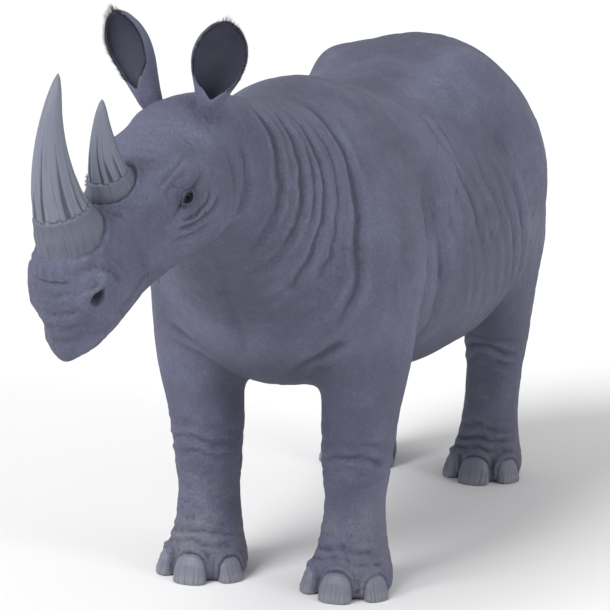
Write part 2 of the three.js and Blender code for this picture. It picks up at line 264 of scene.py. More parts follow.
# Where the legs meet the trunk the corners are rounded once more.
tops_of_legs = bell(points[:, 2] - 0.64, 0.11) * step(np.abs(points[:, 0]), 0.40, 0.30)
points = ease_in_place(points, edges, 70, 0.5 * tops_of_legs)
set_points(hide.data, points)


@contextlib.contextmanager
def opened(mesh):
    """A mesh as a bmesh to work on, which is put back into it afterwards."""
    net = bmesh.new()
    net.from_mesh(mesh)
    yield net
    net.to_mesh(mesh)
    net.free()


def refine(mesh, chosen):
    """Halves the net wherever chosen is true for both ends of an edge."""
    with opened(mesh) as net:
        picked = [e for e in net.edges if chosen[e.verts[0].index] and chosen[e.verts[1].index]]
        bmesh.ops.subdivide_edges(net, edges=picked, cuts=1, use_grid_fill=True)


refine(hide.data, in_head(points)[:, 1] < -0.02)

# ---- Ears ----------------------------------------------------------------------------------------
# Each ear is a tube of gristle under thin skin that opens forwards into a tall oval cup. It is bent up from
# one sheet, given its thickness, and grown together with the skin of the head.
EAR_LENGTH = 0.285
EAR_WALL = 0.009
EAR_NET = 0.004
EAR_ROOT = -0.16  # where the tube starts inside the head, as a share of the length
EAR_SPREAD = {1: 20, -1: 26}  # degrees each ear leans outwards, left and right
EAR_TURN = {1: 30, -1: 2}  # degrees each opening is turned to the animal's left
EAR_RINGS = [  # share of the length, half width, reach ahead, reach behind
    (EAR_ROOT, 0.028, 0.024, 0.026),
    (0.02, 0.038, 0.032, 0.036),
    (0.20, 0.052, 0.036, 0.046),
    (0.42, 0.074, 0.036, 0.054),
    (0.65, 0.080, 0.032, 0.052),
    (0.84, 0.062, 0.022, 0.038),
    (0.96, 0.032, 0.011, 0.019),
    (1.00, 0.010, 0.004, 0.006),
]


def ring_at(rings, share):
    """The sizes of a ring at any share of the length, on a smooth curve through the given rings."""
    rings = np.array(rings)
    place = rings[:, 0]
    slopes = np.gradient(rings[:, 1:], place, axis=0)
    low = np.clip(np.searchsorted(place, share) - 1, 0, len(place) - 2)
    span = (place[low + 1] - place[low])[:, None]
    t = (share - place[low])[:, None] / span
    start, end = rings[low, 1:], rings[low + 1, 1:]
    bulge = t * (1 - t) * span * ((1 - t) * slopes[low] - t * slopes[low + 1])
    return start + (end - start) * t * t * (3 - 2 * t) + bulge


def corners_of(net):
    return np.array([corner.co for corner in net.verts])


def place_corners(net, places):
    for corner, place in zip(net.verts, places):
        corner.co = place


def open_edges(net):
    return [edge for edge in net.edges if edge.is_boundary]


def sheet(around, along, shape):
    """A grid put in place by shape(round, up), where round and up each run from 0 to 1 across it."""
    net = bmesh.new()
    bmesh.ops.create_grid(net, x_segments=around, y_segments=along, size=0.5)
    flat = corners_of(net) + 0.5
    place_corners(net, shape(flat[:, 0], flat[:, 1]))
    bmesh.ops.remove_doubles(net, verts=net.verts, dist=SAME_PLACE)
    bmesh.ops.recalc_face_normals(net, faces=net.faces)
    return net


def ear_root(side):
    """The axes of an ear: X across, -Y out of its opening, Z up its length."""
    root = skull @ Matrix.Translation((0.104 * side, -0.052, 0.142))
    root @= Matrix.Rotation(math.radians(EAR_SPREAD[side] * side), 4, "Y")
    root @= Matrix.Rotation(math.radians(-20), 4, "X")
    return root @ Matrix.Rotation(math.radians(EAR_TURN[side]), 4, "Z")


def ear_sheet(round, up):
    """The ear's outer face: nearly a closed tube at its root, open in front above."""
    share = EAR_ROOT + (1 - EAR_ROOT) * (1 - (1 - up) ** 1.3)
    half, ahead, behind = ring_at(EAR_RINGS, share).T
    arc = np.radians(184 - 70 * step(share, 0.10, 0.40) + 14 * step(share, 0.80, 1.0))
    turn = (2 * round - 1) * arc
    back = np.where(np.cos(turn) > 0, behind, ahead) * np.cos(turn)
    curl = 0.004 * np.sin(9 * share + 2 * np.sign(round - 0.5)) * np.abs(2 * round - 1) ** 3
    return np.stack([half * np.sin(turn), back + curl, share * EAR_LENGTH], 1)


for side in (1, -1):
    gristle = sheet(60, 60, ear_sheet)
    bmesh.ops.solidify(gristle, geom=gristle.faces[:], thickness=EAR_WALL)
    bmesh.ops.recalc_face_normals(gristle, faces=gristle.faces)
    gristle.transform(ear_root(side))
    ear = piece_from("ear", gristle)
    net_over(ear, EAR_NET)
    set_points(ear.data, ease_in_place(points_of(ear.data), edges_of(ear.data), 4, 0.5))
    union = hide.modifiers.new("ear", "BOOLEAN")
    union.operation = "UNION"
    union.solver = "MANIFOLD"
    union.object = ear
    settle(hide)
    bpy.data.objects.remove(ear)

# The joins leave a few slivers.
SLIVER = 0.0006
with opened(hide.data) as seams:
    bmesh.ops.remove_doubles(seams, verts=seams.verts, dist=SLIVER)

# The net is made finer all over, and finest round the eyes.
HANDS = {1: "left", -1: "right"}  # which side of the middle, and its name
EYES = {side: middle_of(f"eye_{hand}") for side, hand in HANDS.items()}
both_eyes = list(EYES.values())
for reach in (0.062, 0.046):
    refine(hide.data, far_from(points_of(hide.data), both_eyes) < reach)
fine = hide.modifiers.new("fine net", "SUBSURF")
fine.levels = fine.render_levels = 1
settle(hide)
points = points_of(hide.data)
edges = edges_of(hide.data)
ear_feet = [ear_root(side) @ Vector((0, 0, 0.012)) for side in (1, -1)]
points = ease(points, edges, 30, 0.6 * step(bell(far_from(points, ear_feet), 0.058), 0.15, 0.7))


def normals_now():
    set_points(hide.data, points)
    bpy.context.view_layer.update()
    return normals_of(hide.data)


def off_ears(points):
    """0 on the ears and 1 everywhere else."""
    on_ears = np.zeros(len(points))
    for side in (1, -1):
        own = moved(ear_root(side).inverted(), points)
        round_it = step(np.hypot(own[:, 0], own[:, 1]), 0.12, 0.09)
        on_ears = np.maximum(on_ears, round_it * step(own[:, 2], 0.005, 0.035))
    return 1 - on_ears


# ---- Forms under the hide ------------------------------------------------------------------------
# Bones, muscles and hollows that show through the hide, each a rounded swell or hollow laid over the skin.


def scattered(seed, draw):
    """Draws 256 rows, and gives a function that finds the row of any cell of a net of cubes."""
    rng = np.random.default_rng(seed)
    shuffled = np.tile(rng.permutation(256), 2)
    rows = draw(rng)

    def row_of(cell):
        x, y, z = (cell & 255).T
        return rows[shuffled[shuffled[shuffled[x] + y] + z]]

    return row_of


def grain(points, size, seed):
    """Smooth noise between about -1 and 1, with features of a given size along X, Y and Z."""
    slope_of = scattered(seed, lambda rng: unit(rng.normal(size=(256, 3))))
    spot = points / np.array(size)
    corner = np.floor(spot).astype(int)
    inner = spot - corner
    fade = inner**3 * (inner * (inner * 6 - 15) + 10)
    total = np.zeros(len(points))
    for shift in itertools.product((0, 1), repeat=3):
        weight = np.where(shift, fade, 1 - fade).prod(1)
        total += weight * (slope_of(corner + shift) * (inner - shift)).sum(1)
    return total * 1.7


def swell(points, normals, place, reach, height):
    """A rounded rise of the skin, or a hollow where height is below 0."""
    far = lengths_of((points - np.array(place)) / np.array(reach))
    points += normals * (height * bell(far, 1))[:, None]


FORMS = [  # place on the left side, reach, height
    ((0.24, -0.10, 1.36), (0.12, 0.10, 0.22), 0.022),  # shoulder blade
    ((0.42, -0.10, 0.98), (0.14, 0.12, 0.18), 0.028),  # muscle behind the upper arm
    ((0.34, -0.38, 0.98), (0.12, 0.09, 0.12), 0.020),  # point of the shoulder
    ((0.42, 0.12, 1.12), (0.14, 0.08, 0.24), -0.025),  # hollow behind the shoulder
    ((0.44, 0.50, 0.98), (0.14, 0.26, 0.24), 0.012),  # ribs
    ((0.38, 0.80, 1.24), (0.14, 0.10, 0.12), -0.034),  # hollow of the flank
    ((0.26, 0.89, 1.46), (0.10, 0.08, 0.07), 0.026),  # hip bone
    ((0.40, 1.02, 1.06), (0.14, 0.13, 0.22), 0.024),  # thigh
    ((0.38, 0.86, 0.78), (0.12, 0.07, 0.10), 0.018),  # stifle
    ((0.26, 1.26, 1.12), (0.12, 0.10, 0.16), 0.012),  # buttock
    ((0.12, 0.45, 1.46), (0.07, 0.50, 0.08), -0.012),  # beside the spine
    ((0.20, -0.52, 1.30), (0.10, 0.14, 0.12), 0.010),  # side of the neck
    ((0.36, -0.18, 0.70), (0.10, 0.08, 0.10), 0.012),  # elbow
    ((0.26, -0.05, 0.56), (0.12, 0.07, 0.08), -0.014),  # hollow above the knee of the foreleg, behind
    ((0.25, -0.33, 0.45), (0.09, 0.06, 0.07), 0.011),  # the knee, in front
    ((0.25, -0.06, 0.42), (0.08, 0.05, 0.05), 0.010),  # the knee, behind
    ((0.25, -0.20, 0.27), (0.16, 0.16, 0.07), -0.007),  # the shank below it
    ((0.25, 1.33, 0.70), (0.16, 0.09, 0.10), -0.032),  # hollow above the hock
    ((0.24, 1.29, 0.49), (0.09, 0.06, 0.055), 0.018),  # point of the hock
    ((0.24, 1.28, 0.30), (0.12, 0.07, 0.10), -0.014),  # the shank below it, behind
    ((0.24, 1.02, 0.34), (0.10, 0.06, 0.10), -0.006),  # and in front
    ((0.25, -0.07, 0.05), (0.10, 0.05, 0.035), 0.009),  # heel of the fore foot
    ((0.23, 1.24, 0.05), (0.10, 0.05, 0.035), 0.009),  # heel of the hind foot
]
normals = normals_now()
for place, reach, height in FORMS:
    for side in (1, -1):
        swell(points, normals, np.array(place) * (side, 1, 1), reach, height)
normals = normals_now()
uneven = 0.005 * grain(points, 0.34, 1) + 0.0018 * grain(points, 0.13, 2)
points += normals * (uneven * off_ears(points))[:, None]

# ---- Folds of the body and legs ------------------------------------------------------------------
# The hide is stiff, so it folds in the same few places: before and behind the shoulder, at the flank, round
# the joints and across the neck. Between them it is cracked into a net of small creases.


def nearest_on(points, line):
    """How far each point is from a line through several places, and how far along the line that is."""
    lengths = lengths_of(np.diff(line, axis=0))
    starts = np.concatenate([[0], np.cumsum(lengths)])
    best = np.full(len(points), 1e9)
    along = np.zeros(len(points))
    for start, end, length, before in zip(line[:-1], line[1:], lengths, starts):
        share = np.clip((points - start) @ (end - start) / length**2, 0, 1)
        far = lengths_of(points - (start + share[:, None] * (end - start)))
        closer = far < best
        best[closer] = far[closer]
        along[closer] = (before + share[closer] * length) / starts[-1]
    return best, along


def laid_on_skin(line, steps=24):
    """A smooth line through several places, each of its points brought to the nearest point of the skin."""
    line = np.array([tuple(place) for place in line], float)
    share = np.arange(len(line)) / (len(line) - 1)
    rings = np.concatenate([share[:, None], line], 1)
    laid = []
    for place in ring_at(rings, np.linspace(0, 1, steps)):
        laid.append(hide.closest_point_on_mesh(place)[1])
    return np.array(laid)


def furrow(points, normals, line, width, depth, roll=0.4, wobble=0.6):
    """A fold line in the skin: a groove with a soft roll along each side, shallow towards both ends."""
    line = laid_on_skin(line)
    reach = 5 * width
    near = ((points > line.min(0) - reach) & (points < line.max(0) + reach)).all(1).nonzero()[0]
    spot = points[near]
    stray = np.stack([grain(spot, width * 5, seed) for seed in (11, 12, 13)], 1) * width * wobble
    far, along = nearest_on(spot + stray, line)
    fade = step(np.minimum(along, 1 - along), 0, 0.25)
    groove = bell(far, width) - roll * bell(far - 2.1 * width, width)
    points[near] -= normals[near] * (depth * fade * groove)[:, None]


def mirrored(line):
    return [line, [(-x, y, z) for x, y, z in line]]


BODY_FOLDS = [  # width, depth, and places down the left side
    # in front of the shoulder and behind it
    (0.020, 0.014, [
        (0.05, -0.20, 1.62), (0.20, -0.27, 1.48), (0.32, -0.33, 1.24),
        (0.34, -0.40, 1.00), (0.24, -0.46, 0.80),
    ]),
    (0.026, 0.014, [
        (0.36, 0.08, 1.30), (0.44, 0.06, 1.08), (0.42, 0.03, 0.84),
        (0.34, 0.00, 0.70), (0.20, -0.04, 0.62),
    ]),
    (0.022, 0.006, [(0.42, 0.16, 1.12), (0.42, 0.14, 0.86), (0.34, 0.11, 0.70), (0.20, 0.06, 0.60)]),
    (0.016, 0.010, [(0.32, -0.40, 0.84), (0.22, -0.42, 0.72), (0.12, -0.38, 0.64)]),
    # at the flank
    (0.028, 0.015, [
        (0.38, 0.70, 1.24), (0.43, 0.77, 1.00), (0.41, 0.81, 0.80), (0.32, 0.82, 0.66), (0.22, 0.86, 0.58),
    ]),
    (0.022, 0.006, [(0.41, 0.64, 1.08), (0.42, 0.69, 0.86), (0.34, 0.74, 0.70), (0.22, 0.76, 0.60)]),
    # down the buttock and beside the tail
    (0.018, 0.007, [(0.30, 1.18, 1.32), (0.38, 1.22, 1.10), (0.35, 1.22, 0.88), (0.30, 1.18, 0.68)]),
    (0.016, 0.008, [(0.08, 1.40, 1.28), (0.15, 1.38, 1.10), (0.15, 1.32, 0.92)]),
    # round the neck
    (0.015, 0.010, [
        (0.05, -0.42, 1.62), (0.20, -0.46, 1.46), (0.27, -0.50, 1.24),
        (0.22, -0.56, 1.02), (0.08, -0.60, 0.92),
    ]),
    (0.014, 0.010, [
        (0.05, -0.52, 1.63), (0.18, -0.56, 1.48), (0.24, -0.60, 1.28),
        (0.20, -0.66, 1.12), (0.07, -0.68, 1.02),
    ]),
    (0.013, 0.009, [
        (0.04, -0.61, 1.64), (0.17, -0.65, 1.52), (0.22, -0.68, 1.34),
        (0.19, -0.73, 1.20), (0.07, -0.76, 1.10),
    ]),
    (0.012, 0.005, [(0.13, -0.36, 1.56), (0.25, -0.40, 1.38), (0.29, -0.44, 1.18), (0.25, -0.50, 0.98)]),
    (0.010, 0.004, [(0.12, -0.47, 1.56), (0.22, -0.52, 1.40), (0.25, -0.56, 1.20)]),
]
normals = normals_now()
for width, depth, line in BODY_FOLDS:
    for copy in mirrored(line):
        furrow(points, normals, copy, width, depth)
THROAT_LINE = [(0, -0.70, 1.05), (0, -0.60, 0.92), (0, -0.50, 0.70)]
CLEFT_UNDER_TAIL = [(0, 1.42, 1.18), (0, 1.40, 1.02), (0, 1.34, 0.86), (0, 1.20, 0.70)]
furrow(points, normals, THROAT_LINE, 0.018, 0.008)
furrow(points, normals, CLEFT_UNDER_TAIL, 0.026, 0.026, wobble=0)
RIB_FURROWS = 8
for rib in range(RIB_FURROWS):
    y = 0.20 + 0.08 * rib
    between_ribs = [(0.36, y, 1.30), (0.45, y + 0.02, 1.10), (0.46, y + 0.07, 0.88), (0.40, y + 0.10, 0.72)]
    for copy in mirrored(between_ribs):
        furrow(points, normals, copy, 0.024, 0.0045, roll=0.2)

# Folds run round the front of each leg, at the knee or hock and above the foot.
LEG_FOLDS = [(0.505, 0.013, 0.0035), (0.455, 0.012, 0.0060), (0.405, 0.012, 0.0035)]  # height, width, depth
LEG_FOLDS += [(0.205, 0.011, 0.0035), (0.170, 0.010, 0.0055), (0.138, 0.009, 0.0045)]
normals = normals_now()
for foot in feet:
    x, y, _ = middle_of(foot)
    for height, width, depth in LEG_FOLDS:
        bend = []
        for turn in np.radians(np.arange(-100, 101, 25)):
            place = (x + 0.125 * math.sin(turn), y - 0.125 * math.cos(turn), height - 0.02 * abs(turn))
            bend.append(place)
        furrow(points, normals, bend, width, depth, wobble=1.0)


def cell_borders(points, size, seed):
    """How far each point is from the border between two cells of a cracked net, in cell widths."""
    heart_of = scattered(seed, lambda rng: rng.random((256, 3)))
    spot = points / size
    corner = np.floor(spot).astype(int)
    nearest = np.full(len(points), 9.0)
    second = nearest.copy()
    for shift in itertools.product((-1, 0, 1), repeat=3):
        cell = corner + shift
        far = lengths_of(cell + heart_of(cell) - spot)
        second = np.minimum(second, np.maximum(nearest, far))
        nearest = np.minimum(nearest, far)
    return second - nearest


def creases(points, normals, where, size, width, depth, seed):
    """A cracked net pressed into the skin, its lines bent and of uneven depth."""
    near = np.nonzero(where > 0.02)[0]
    size = np.array(size)
    spot = points[near]
    stray = np.stack([grain(spot, size * 0.9, seed + k) for k in (1, 2, 3)], 1) * size * 0.4
    line = bell(cell_borders(spot + stray, size, seed), width)
    uneven = np.clip(0.45 + 0.9 * grain(spot, size * 2.2, seed + 4), 0, 1.3)
    points[near] -= normals[near] * (depth * where[near] * uneven * line)[:, None]


normals = normals_now()
x, y, z = points.T
head_down = -in_head(points)[:, 1]
off_head = step(head_down, 0.06, -0.02) * off_ears(points)
on_neck = step(y, -0.25, -0.42) * off_head
on_legs = step(z, 0.62, 0.45) * step(np.hypot(x, y - rump_back.y), 0.12, 0.2)
on_sides = (1 - on_neck) * (1 - on_legs) * off_head
creases(points, normals, on_neck, (0.20, 0.050, 0.18), 0.22, 0.0036, 21)
creases(points, normals, on_sides, (0.20, 0.11, 0.24), 0.14, 0.0038, 31)
creases(points, normals, np.maximum(on_sides, on_neck), (0.070, 0.050, 0.080), 0.17, 0.0022, 41)
creases(points, normals, on_legs, (0.16, 0.16, 0.060), 0.20, 0.0030, 51)
creases(points, normals, on_legs, (0.05, 0.05, 0.028), 0.22, 0.0020, 61)

# ---- The face ------------------------------------------------------------------------------------
# The muzzle ends in a pointed, hooked upper lip over a smaller chin. The nostrils are deep commas, the small
# eyes lie under a heavy brow in rings of folds, and loose skin gathers over the nose and at the jaw.
FACE_FORMS = [  # out, down the face, height on it, reach, rise
    (0.150, 0.470, 0.020, 0.062, -0.012),  # hollow before the eye
    (0.150, 0.450, -0.110, 0.070, -0.012),  # hollow behind the corner of the mouth
    (0.155, 0.275, 0.105, 0.040, 0.014),  # brow
    (0.120, 0.180, 0.120, 0.050, -0.014),  # temple
    (0.165, 0.220, -0.060, 0.070, 0.008),  # cheekbone
    (0.112, 0.700, 0.030, 0.040, 0.012),  # wing of the nostril
    (0.085, 0.810, -0.105, 0.045, -0.016),  # hollow beside the lip's point
    (0.120, 0.690, -0.110, 0.050, 0.008),  # pad of the upper lip
    (0.000, 0.560, 0.150, 0.030, -0.006),  # dip between the horns
    (0.000, 0.750, 0.105, 0.050, 0.009),  # the skin that carries the front of the horn
    (0.060, 0.735, 0.105, 0.050, 0.008),  # and its sides
]


def on_side(side, out, down, high):
    return on_face(out * side, down, high)


normals = normals_now()
for out, down, high, reach, rise in FACE_FORMS:
    for side in (1, -1):
        swell(points, normals, on_side(side, out, down, high), (reach, reach, reach), rise)

# Below the mouth the jaw is drawn back and in, and the lip's point is drawn down over it.
MOUTH = [(0.54, -0.096), (0.60, -0.116), (0.66, -0.128), (0.74, -0.142), (0.80, -0.160), (0.84, -0.186)]
turn_to_world = np.array(skull.to_3x3())
seen = in_head(points)
out, down, high = seen[:, 0], -seen[:, 1], seen[:, 2]
mouth_down, mouth_high = np.array(MOUTH).T
over_mouth = high - np.interp(down, mouth_down, mouth_high)
in_chin = step(over_mouth, 0.004, -0.008) * step(down, 0.56, 0.76) * (np.abs(out) < 0.25)
drawn = np.stack([-0.15 * out * in_chin, 0.036 * in_chin, 0.004 * in_chin], 1)
point_of_lip = bell(far_from(seen, (0, -0.815, -0.158)), 0.040) * step(over_mouth, -0.006, 0.006)
drawn += point_of_lip[:, None] * np.array((0, -0.010, -0.020))
points += drawn @ turn_to_world.T

FACE_FOLDS = [  # width, depth, and places (out, down the face, height on it) on the left side
    (0.012, 0.0050, [(0.150, 0.545, -0.045), (0.154, 0.515, -0.090), (0.140, 0.520, -0.140)]),
    (0.011, 0.006, [
        (0.070, 0.752, 0.075), (0.115, 0.690, 0.060), (0.140, 0.650, 0.010), (0.145, 0.640, -0.060),
    ]),
    (0.016, 0.0025, [(0.135, 0.610, 0.060), (0.150, 0.600, 0.000), (0.148, 0.595, -0.070)]),
    (0.016, 0.0035, [
        (0.100, 0.500, 0.110), (0.140, 0.505, 0.060), (0.155, 0.520, -0.010), (0.150, 0.540, -0.070),
    ]),
    (0.006, 0.006, [
        (0.165, 0.380, -0.012), (0.178, 0.330, -0.028), (0.190, 0.275, -0.012), (0.186, 0.240, 0.030),
    ]),
    (0.008, 0.006, [
        (0.160, 0.415, -0.030), (0.180, 0.340, -0.055), (0.200, 0.260, -0.045), (0.190, 0.200, 0.000),
    ]),
    (0.009, 0.005, [(0.155, 0.440, -0.060), (0.180, 0.350, -0.090), (0.195, 0.270, -0.085)]),
    (0.008, 0.005, [
        (0.140, 0.388, 0.055), (0.150, 0.345, 0.094), (0.162, 0.290, 0.099), (0.176, 0.240, 0.072),
    ]),
    (0.008, 0.005, [
        (0.130, 0.385, 0.110), (0.145, 0.330, 0.125), (0.150, 0.270, 0.135), (0.145, 0.215, 0.130),
    ]),
    (0.013, 0.009, [
        (0.160, 0.080, 0.060), (0.190, 0.120, -0.050), (0.180, 0.200, -0.150), (0.150, 0.300, -0.210),
    ]),
    (0.012, 0.008, [
        (0.150, 0.020, 0.040), (0.175, 0.050, -0.060), (0.160, 0.120, -0.180), (0.120, 0.200, -0.240),
    ]),
    (0.008, 0.005, [(0.000, 0.530, 0.125), (0.060, 0.515, 0.120), (0.110, 0.500, 0.100)]),
    (0.009, 0.003, [(0.000, 0.300, 0.150), (0.050, 0.310, 0.145), (0.090, 0.290, 0.140)]),
]
normals = normals_now()
for width, depth, line in FACE_FOLDS:
    for side in (1, -1):
        furrow(points, normals, [on_side(side, *place) for place in line], width, depth, wobble=0.35)

# The mouth's line runs forwards from its corner and passes behind the point of the upper lip.
LIP_LINE = [
    (0.145, 0.535, -0.092),
    (0.138, 0.620, -0.119),
    (0.115, 0.700, -0.128),
    (0.085, 0.765, -0.148),
    (0.045, 0.792, -0.172),
]
right_half = [(-out, down, high) for out, down, high in reversed(LIP_LINE)]
mouth = [on_face(*place) for place in LIP_LINE + [(0, 0.797, -0.182)] + right_half]
normals = normals_now()
furrow(points, normals, mouth, 0.0070, 0.013, roll=0.5, wobble=0.3)

# Soft wrinkles cross the front of the muzzle from side to side.
MUZZLE_WRINKLES = [  # down the face, height on it, depth
    (0.792, 0.022, 0.0035),
    (0.815, -0.030, 0.0030),
    (0.824, -0.080, 0.0026),
    (0.832, -0.122, 0.0022),
]
for down, high, depth in MUZZLE_WRINKLES:
    across = (-0.095, -0.050, 0, 0.050, 0.095)
    wrinkle = [on_face(out, down - 5.5 * out**2, high + 0.9 * out**2) for out in across]
    furrow(points, normals, wrinkle, 0.0085, depth, wobble=1.0)

# A nostril: a deep comma, broad in front, under a thick wing of skin.
NOSTRIL = (0.120, 0.738, -0.012)
NOSTRIL_LONG, NOSTRIL_TALL = 0.027, 0.0165  # its half sizes
normals = normals_now()
for side in (1, -1):
    off = (points - np.array(on_side(side, *NOSTRIL))) @ turn_to_world
    facing = np.array((0.84 * side, -0.52, -0.14))
    level = np.array((-0.50 * side, -0.76, -0.42))
    level -= facing * (level @ facing) / (facing @ facing)
    level /= np.linalg.norm(level)
    along = off @ level
    across = off @ (np.cross(facing, level) * -side)
    across = across - np.where(along < 0, 9.0, -2.0) * along**2
    tall = NOSTRIL_TALL * (1 + 0.40 * np.clip(along / NOSTRIL_LONG, -1, 1))
    far = np.sqrt((along / NOSTRIL_LONG) ** 2 + (across / tall) ** 2)
    this_side = step(np.abs(off @ facing), 0.075, 0.050) * step(lengths_of(off), 0.110, 0.085)
    wing = np.where(across > 0, 0.0070, 0.0040) * bell(far - 1.70, 0.60)
    points -= turn_to_world @ facing * (0.030 * this_side * step(far, 1.10, 0.45))[:, None]
    points += normals * (wing * this_side)[:, None]

# Fine creases of the face: small plates on the cheeks, rings round the eyes, folds across the muzzle.
normals = normals_now()
on_head = step(head_down, 0.02, 0.10) * off_ears(points)
calm = step(far_from(points, both_eyes), 0.030, 0.060)
creases(points, normals, on_head * calm, (0.060, 0.050, 0.055), 0.16, 0.0022, 71)
creases(points, normals, on_head * calm, (0.026, 0.022, 0.026), 0.20, 0.0011, 81)

# The lids: close round each eye the skin is wrapped over the ball, with an almond opening left in it.
EYE_RADIUS = 0.025
ALMOND = 1.7  # 2 would make the opening an ellipse
OPEN_LONG, OPEN_ABOVE, OPEN_BELOW = 50, 31, 27  # degrees from the eye's axis to the edge of the lids
opening_of = {}
for side, eye in EYES.items():
    outward = skull.to_3x3() @ Vector((0.93 * side, -0.33, 0.14)).normalized()
    forward = skull.to_3x3() @ Vector((0.30 * side, -0.93, -0.25))
    forward = (forward - outward * forward.dot(outward)).normalized()
    upward = outward.cross(forward) * -side
    off = points - np.array(eye)
    near = (lengths_of(off) < 0.105) & (off @ np.array(outward) > 0)
    off = off[near]
    own = lengths_of(off)
    aim = off / own[:, None]
    long = np.degrees(np.arctan2(aim @ np.array(forward), aim @ np.array(outward)))
    tall = np.degrees(np.arctan2(aim @ np.array(upward), aim @ np.array(outward)))
    tallest = np.where(tall > 0, OPEN_ABOVE, OPEN_BELOW)
    opening = (np.abs(long / OPEN_LONG) ** ALMOND + np.abs(tall / tallest) ** ALMOND) ** (1 / ALMOND)
    edge = (opening - 1) * 0.017
    lid = np.where(tall > 0, 0.0080, 0.0058)
    # Inside the opening the skin runs behind the ball. From its edge outwards come the lid and the rings.
    wrap = EYE_RADIUS - 0.005 + 0.0065 * step(edge, -0.002, 0.0005)
    wrap += (lid - 0.0015) * step(edge, 0.0005, 0.005)
    wrap -= 0.0045 * bell(edge - 0.0130, 0.0028)
    wrap += 0.0022 * bell(edge - 0.0185, 0.0035)
    wrap -= 0.0030 * bell(edge - 0.0250, 0.0030)
    rings = np.sin(edge / 0.0085 * math.tau + 1.5 * grain(points[near], 0.03, 91))
    ringed = own + 0.0016 * rings * bell(edge - 0.042, 0.018)
    own = ringed + (wrap - ringed) * step(edge, 0.044, 0.014)
    points[near] = np.array(eye) + aim * own[:, None]
    opening_of[side] = (outward, forward, upward)
points = ease(points, edges, 2, 0.35)

# Round each horn the skin rises in a low, folded rim.
HORN_SIZES = {  # length, half width, half depth, share of the full sweep
    "horn_front": (0.455, 0.090, 0.106, 1.0),
    "horn_rear": (0.270, 0.066, 0.080, 0.6),
}
HORN_LEAN = math.radians(-11)


def horn_seat(node):
    down, height = HORN_SEATS[node]
    return skull @ Matrix.Translation((0, -down, height)) @ Matrix.Rotation(HORN_LEAN, 4, "X")


normals = normals_now()
for node, (_, half, deep, _) in HORN_SIZES.items():
    own = moved(horn_seat(node).inverted(), points)
    far = np.hypot(own[:, 0] / half, own[:, 1] / deep)
    turn = np.arctan2(own[:, 0], own[:, 1])
    pucker = 1 + 0.35 * np.sin(17 * turn + 3 * np.sin(2 * turn))
    rim = 0.0055 * pucker * bell(far - 1.14, 0.07) - 0.004 * bell(far - 1.0, 0.05)
    rise = rim - 0.006 * step(far, 0.95, 0.8)
    points += normals * (rise * (np.abs(own[:, 2]) < 0.09))[:, None]

# ---- Feet: toes, cuticles and soles --------------------------------------------------------------
# Each foot is a pad with three toes in front. The skin dips between the toes and makes a raised cuticle round
# each nail, and the sole is flat where it bears.
TOE_TURN = {"inner": -58, "middle": 0, "outer": 58}  # degrees each toe points from straight ahead
NAIL_TILT = math.radians(-14)
NAIL_MIDDLE_HEIGHT = 0.026


def nail_plan(node):
    """A nail's axes, with -Y out of its face and Z up it, and its half sizes."""
    _, _, hand, toe = node.split("_")
    side = 1 if hand == "left" else -1
    place = middle_of(node)
    place.z = NAIL_MIDDLE_HEIGHT
    axes = Matrix.Translation(place) @ Matrix.Rotation(math.radians(TOE_TURN[toe]) * side, 4, "Z")
    axes @= Matrix.Rotation(NAIL_TILT, 4, "X")
    return axes, ((0.051, 0.027, 0.064) if toe == "middle" else (0.040, 0.027, 0.056))


# A valley between each two toes, then a cuticle round each nail.
normals = normals_now()
for foot in feet:
    x, y, _ = middle_of(foot)
    side = math.copysign(1, x)
    for turn in (-29, 29):
        way = math.radians(turn) * side
        valley = (x + 0.130 * math.sin(way), y - 0.128 * math.cos(way), 0.045)
        swell(points, normals, valley, (0.024, 0.024, 0.060), -0.013)
normals = normals_now()
for node in nodes_of("nail"):
    axes, half = nail_plan(node)
    near = np.nonzero(far_from(points, axes.translation) < 0.12)[0]
    own = moved(axes.inverted(), points[near]) / np.array(half)
    far = (np.abs(own) ** 2.3).sum(1) ** (1 / 2.3)
    cuticle = 0.0085 * bell(far - 1.20, 0.13) - 0.0035 * bell(far - 1.02, 0.05)
    rise = cuticle - 0.0110 * step(far, 0.98, 0.75)
    points[near] += normals[near] * (rise * step(own[:, 1], 0.6, 0.0))[:, None]

points = ease(points, edges, 1, 0.3)
SOLE_HEIGHT = 0.0035  # whatever is lower than this is pressed flat on the ground
points[:, 2] = np.where(points[:, 2] < SOLE_HEIGHT, 0, points[:, 2])

# ---- Finish of the hide --------------------------------------------------------------------------
# The hide is bare, dry and dull. Marks laid on its points say where it is hollow, where it is thin, and where
# painted shade and the rings round the eyes darken it; its net is thinned where it is plain, and its colour
# and its small plates are in its material.


def mark(thing, name, values):
    """Lays a value on every point of a piece, for its material to read."""
    kind = "FLOAT_VECTOR" if values.ndim > 1 else "FLOAT"
    layer = thing.data.attributes.new(name, kind, "POINT")
    layer.data.foreach_set("vector" if values.ndim > 1 else "value", values.astype(np.float32).ravel())


# How hollow the skin is at each point, from -1 on a ridge to 1 in a fold, and where its colour is darkened:
# painted shade under the belly, along the back, in the cups of the ears, the nostrils and the mouth, and
# rings round the eyes.
normals = normals_now()
once_eased = ease(points, edges, 4, 0.7)
fine_hollow = ((once_eased - points) * normals).sum(1)
broad_hollow = ((ease(once_eased, edges, 16, 0.7) - points) * normals).sum(1)
hollow = np.clip(0.6 * fine_hollow / 0.0010 + 0.6 * broad_hollow / 0.0045, -1, 1)
mark(hide, "hollow", hollow * (0.25 + 0.75 * off_ears(points)))
mark(hide, "thin_skin", 1 - off_ears(points))
x, y, z = points.T
belly = step(normals[:, 2], -0.25, -0.85) * step(z, 0.42, 0.55)
back = step(np.abs(x), 0.20, 0.03) * step(normals[:, 2], 0.55, 0.95) * step(z, 1.2, 1.4)
round_eyes = bell(far_from(points, both_eyes), 0.047)
in_cups = np.zeros(len(points))
in_pits = np.zeros(len(points))
CUP_AXIS = -0.006  # the Y of the middle of a cup, in the ear's own axes
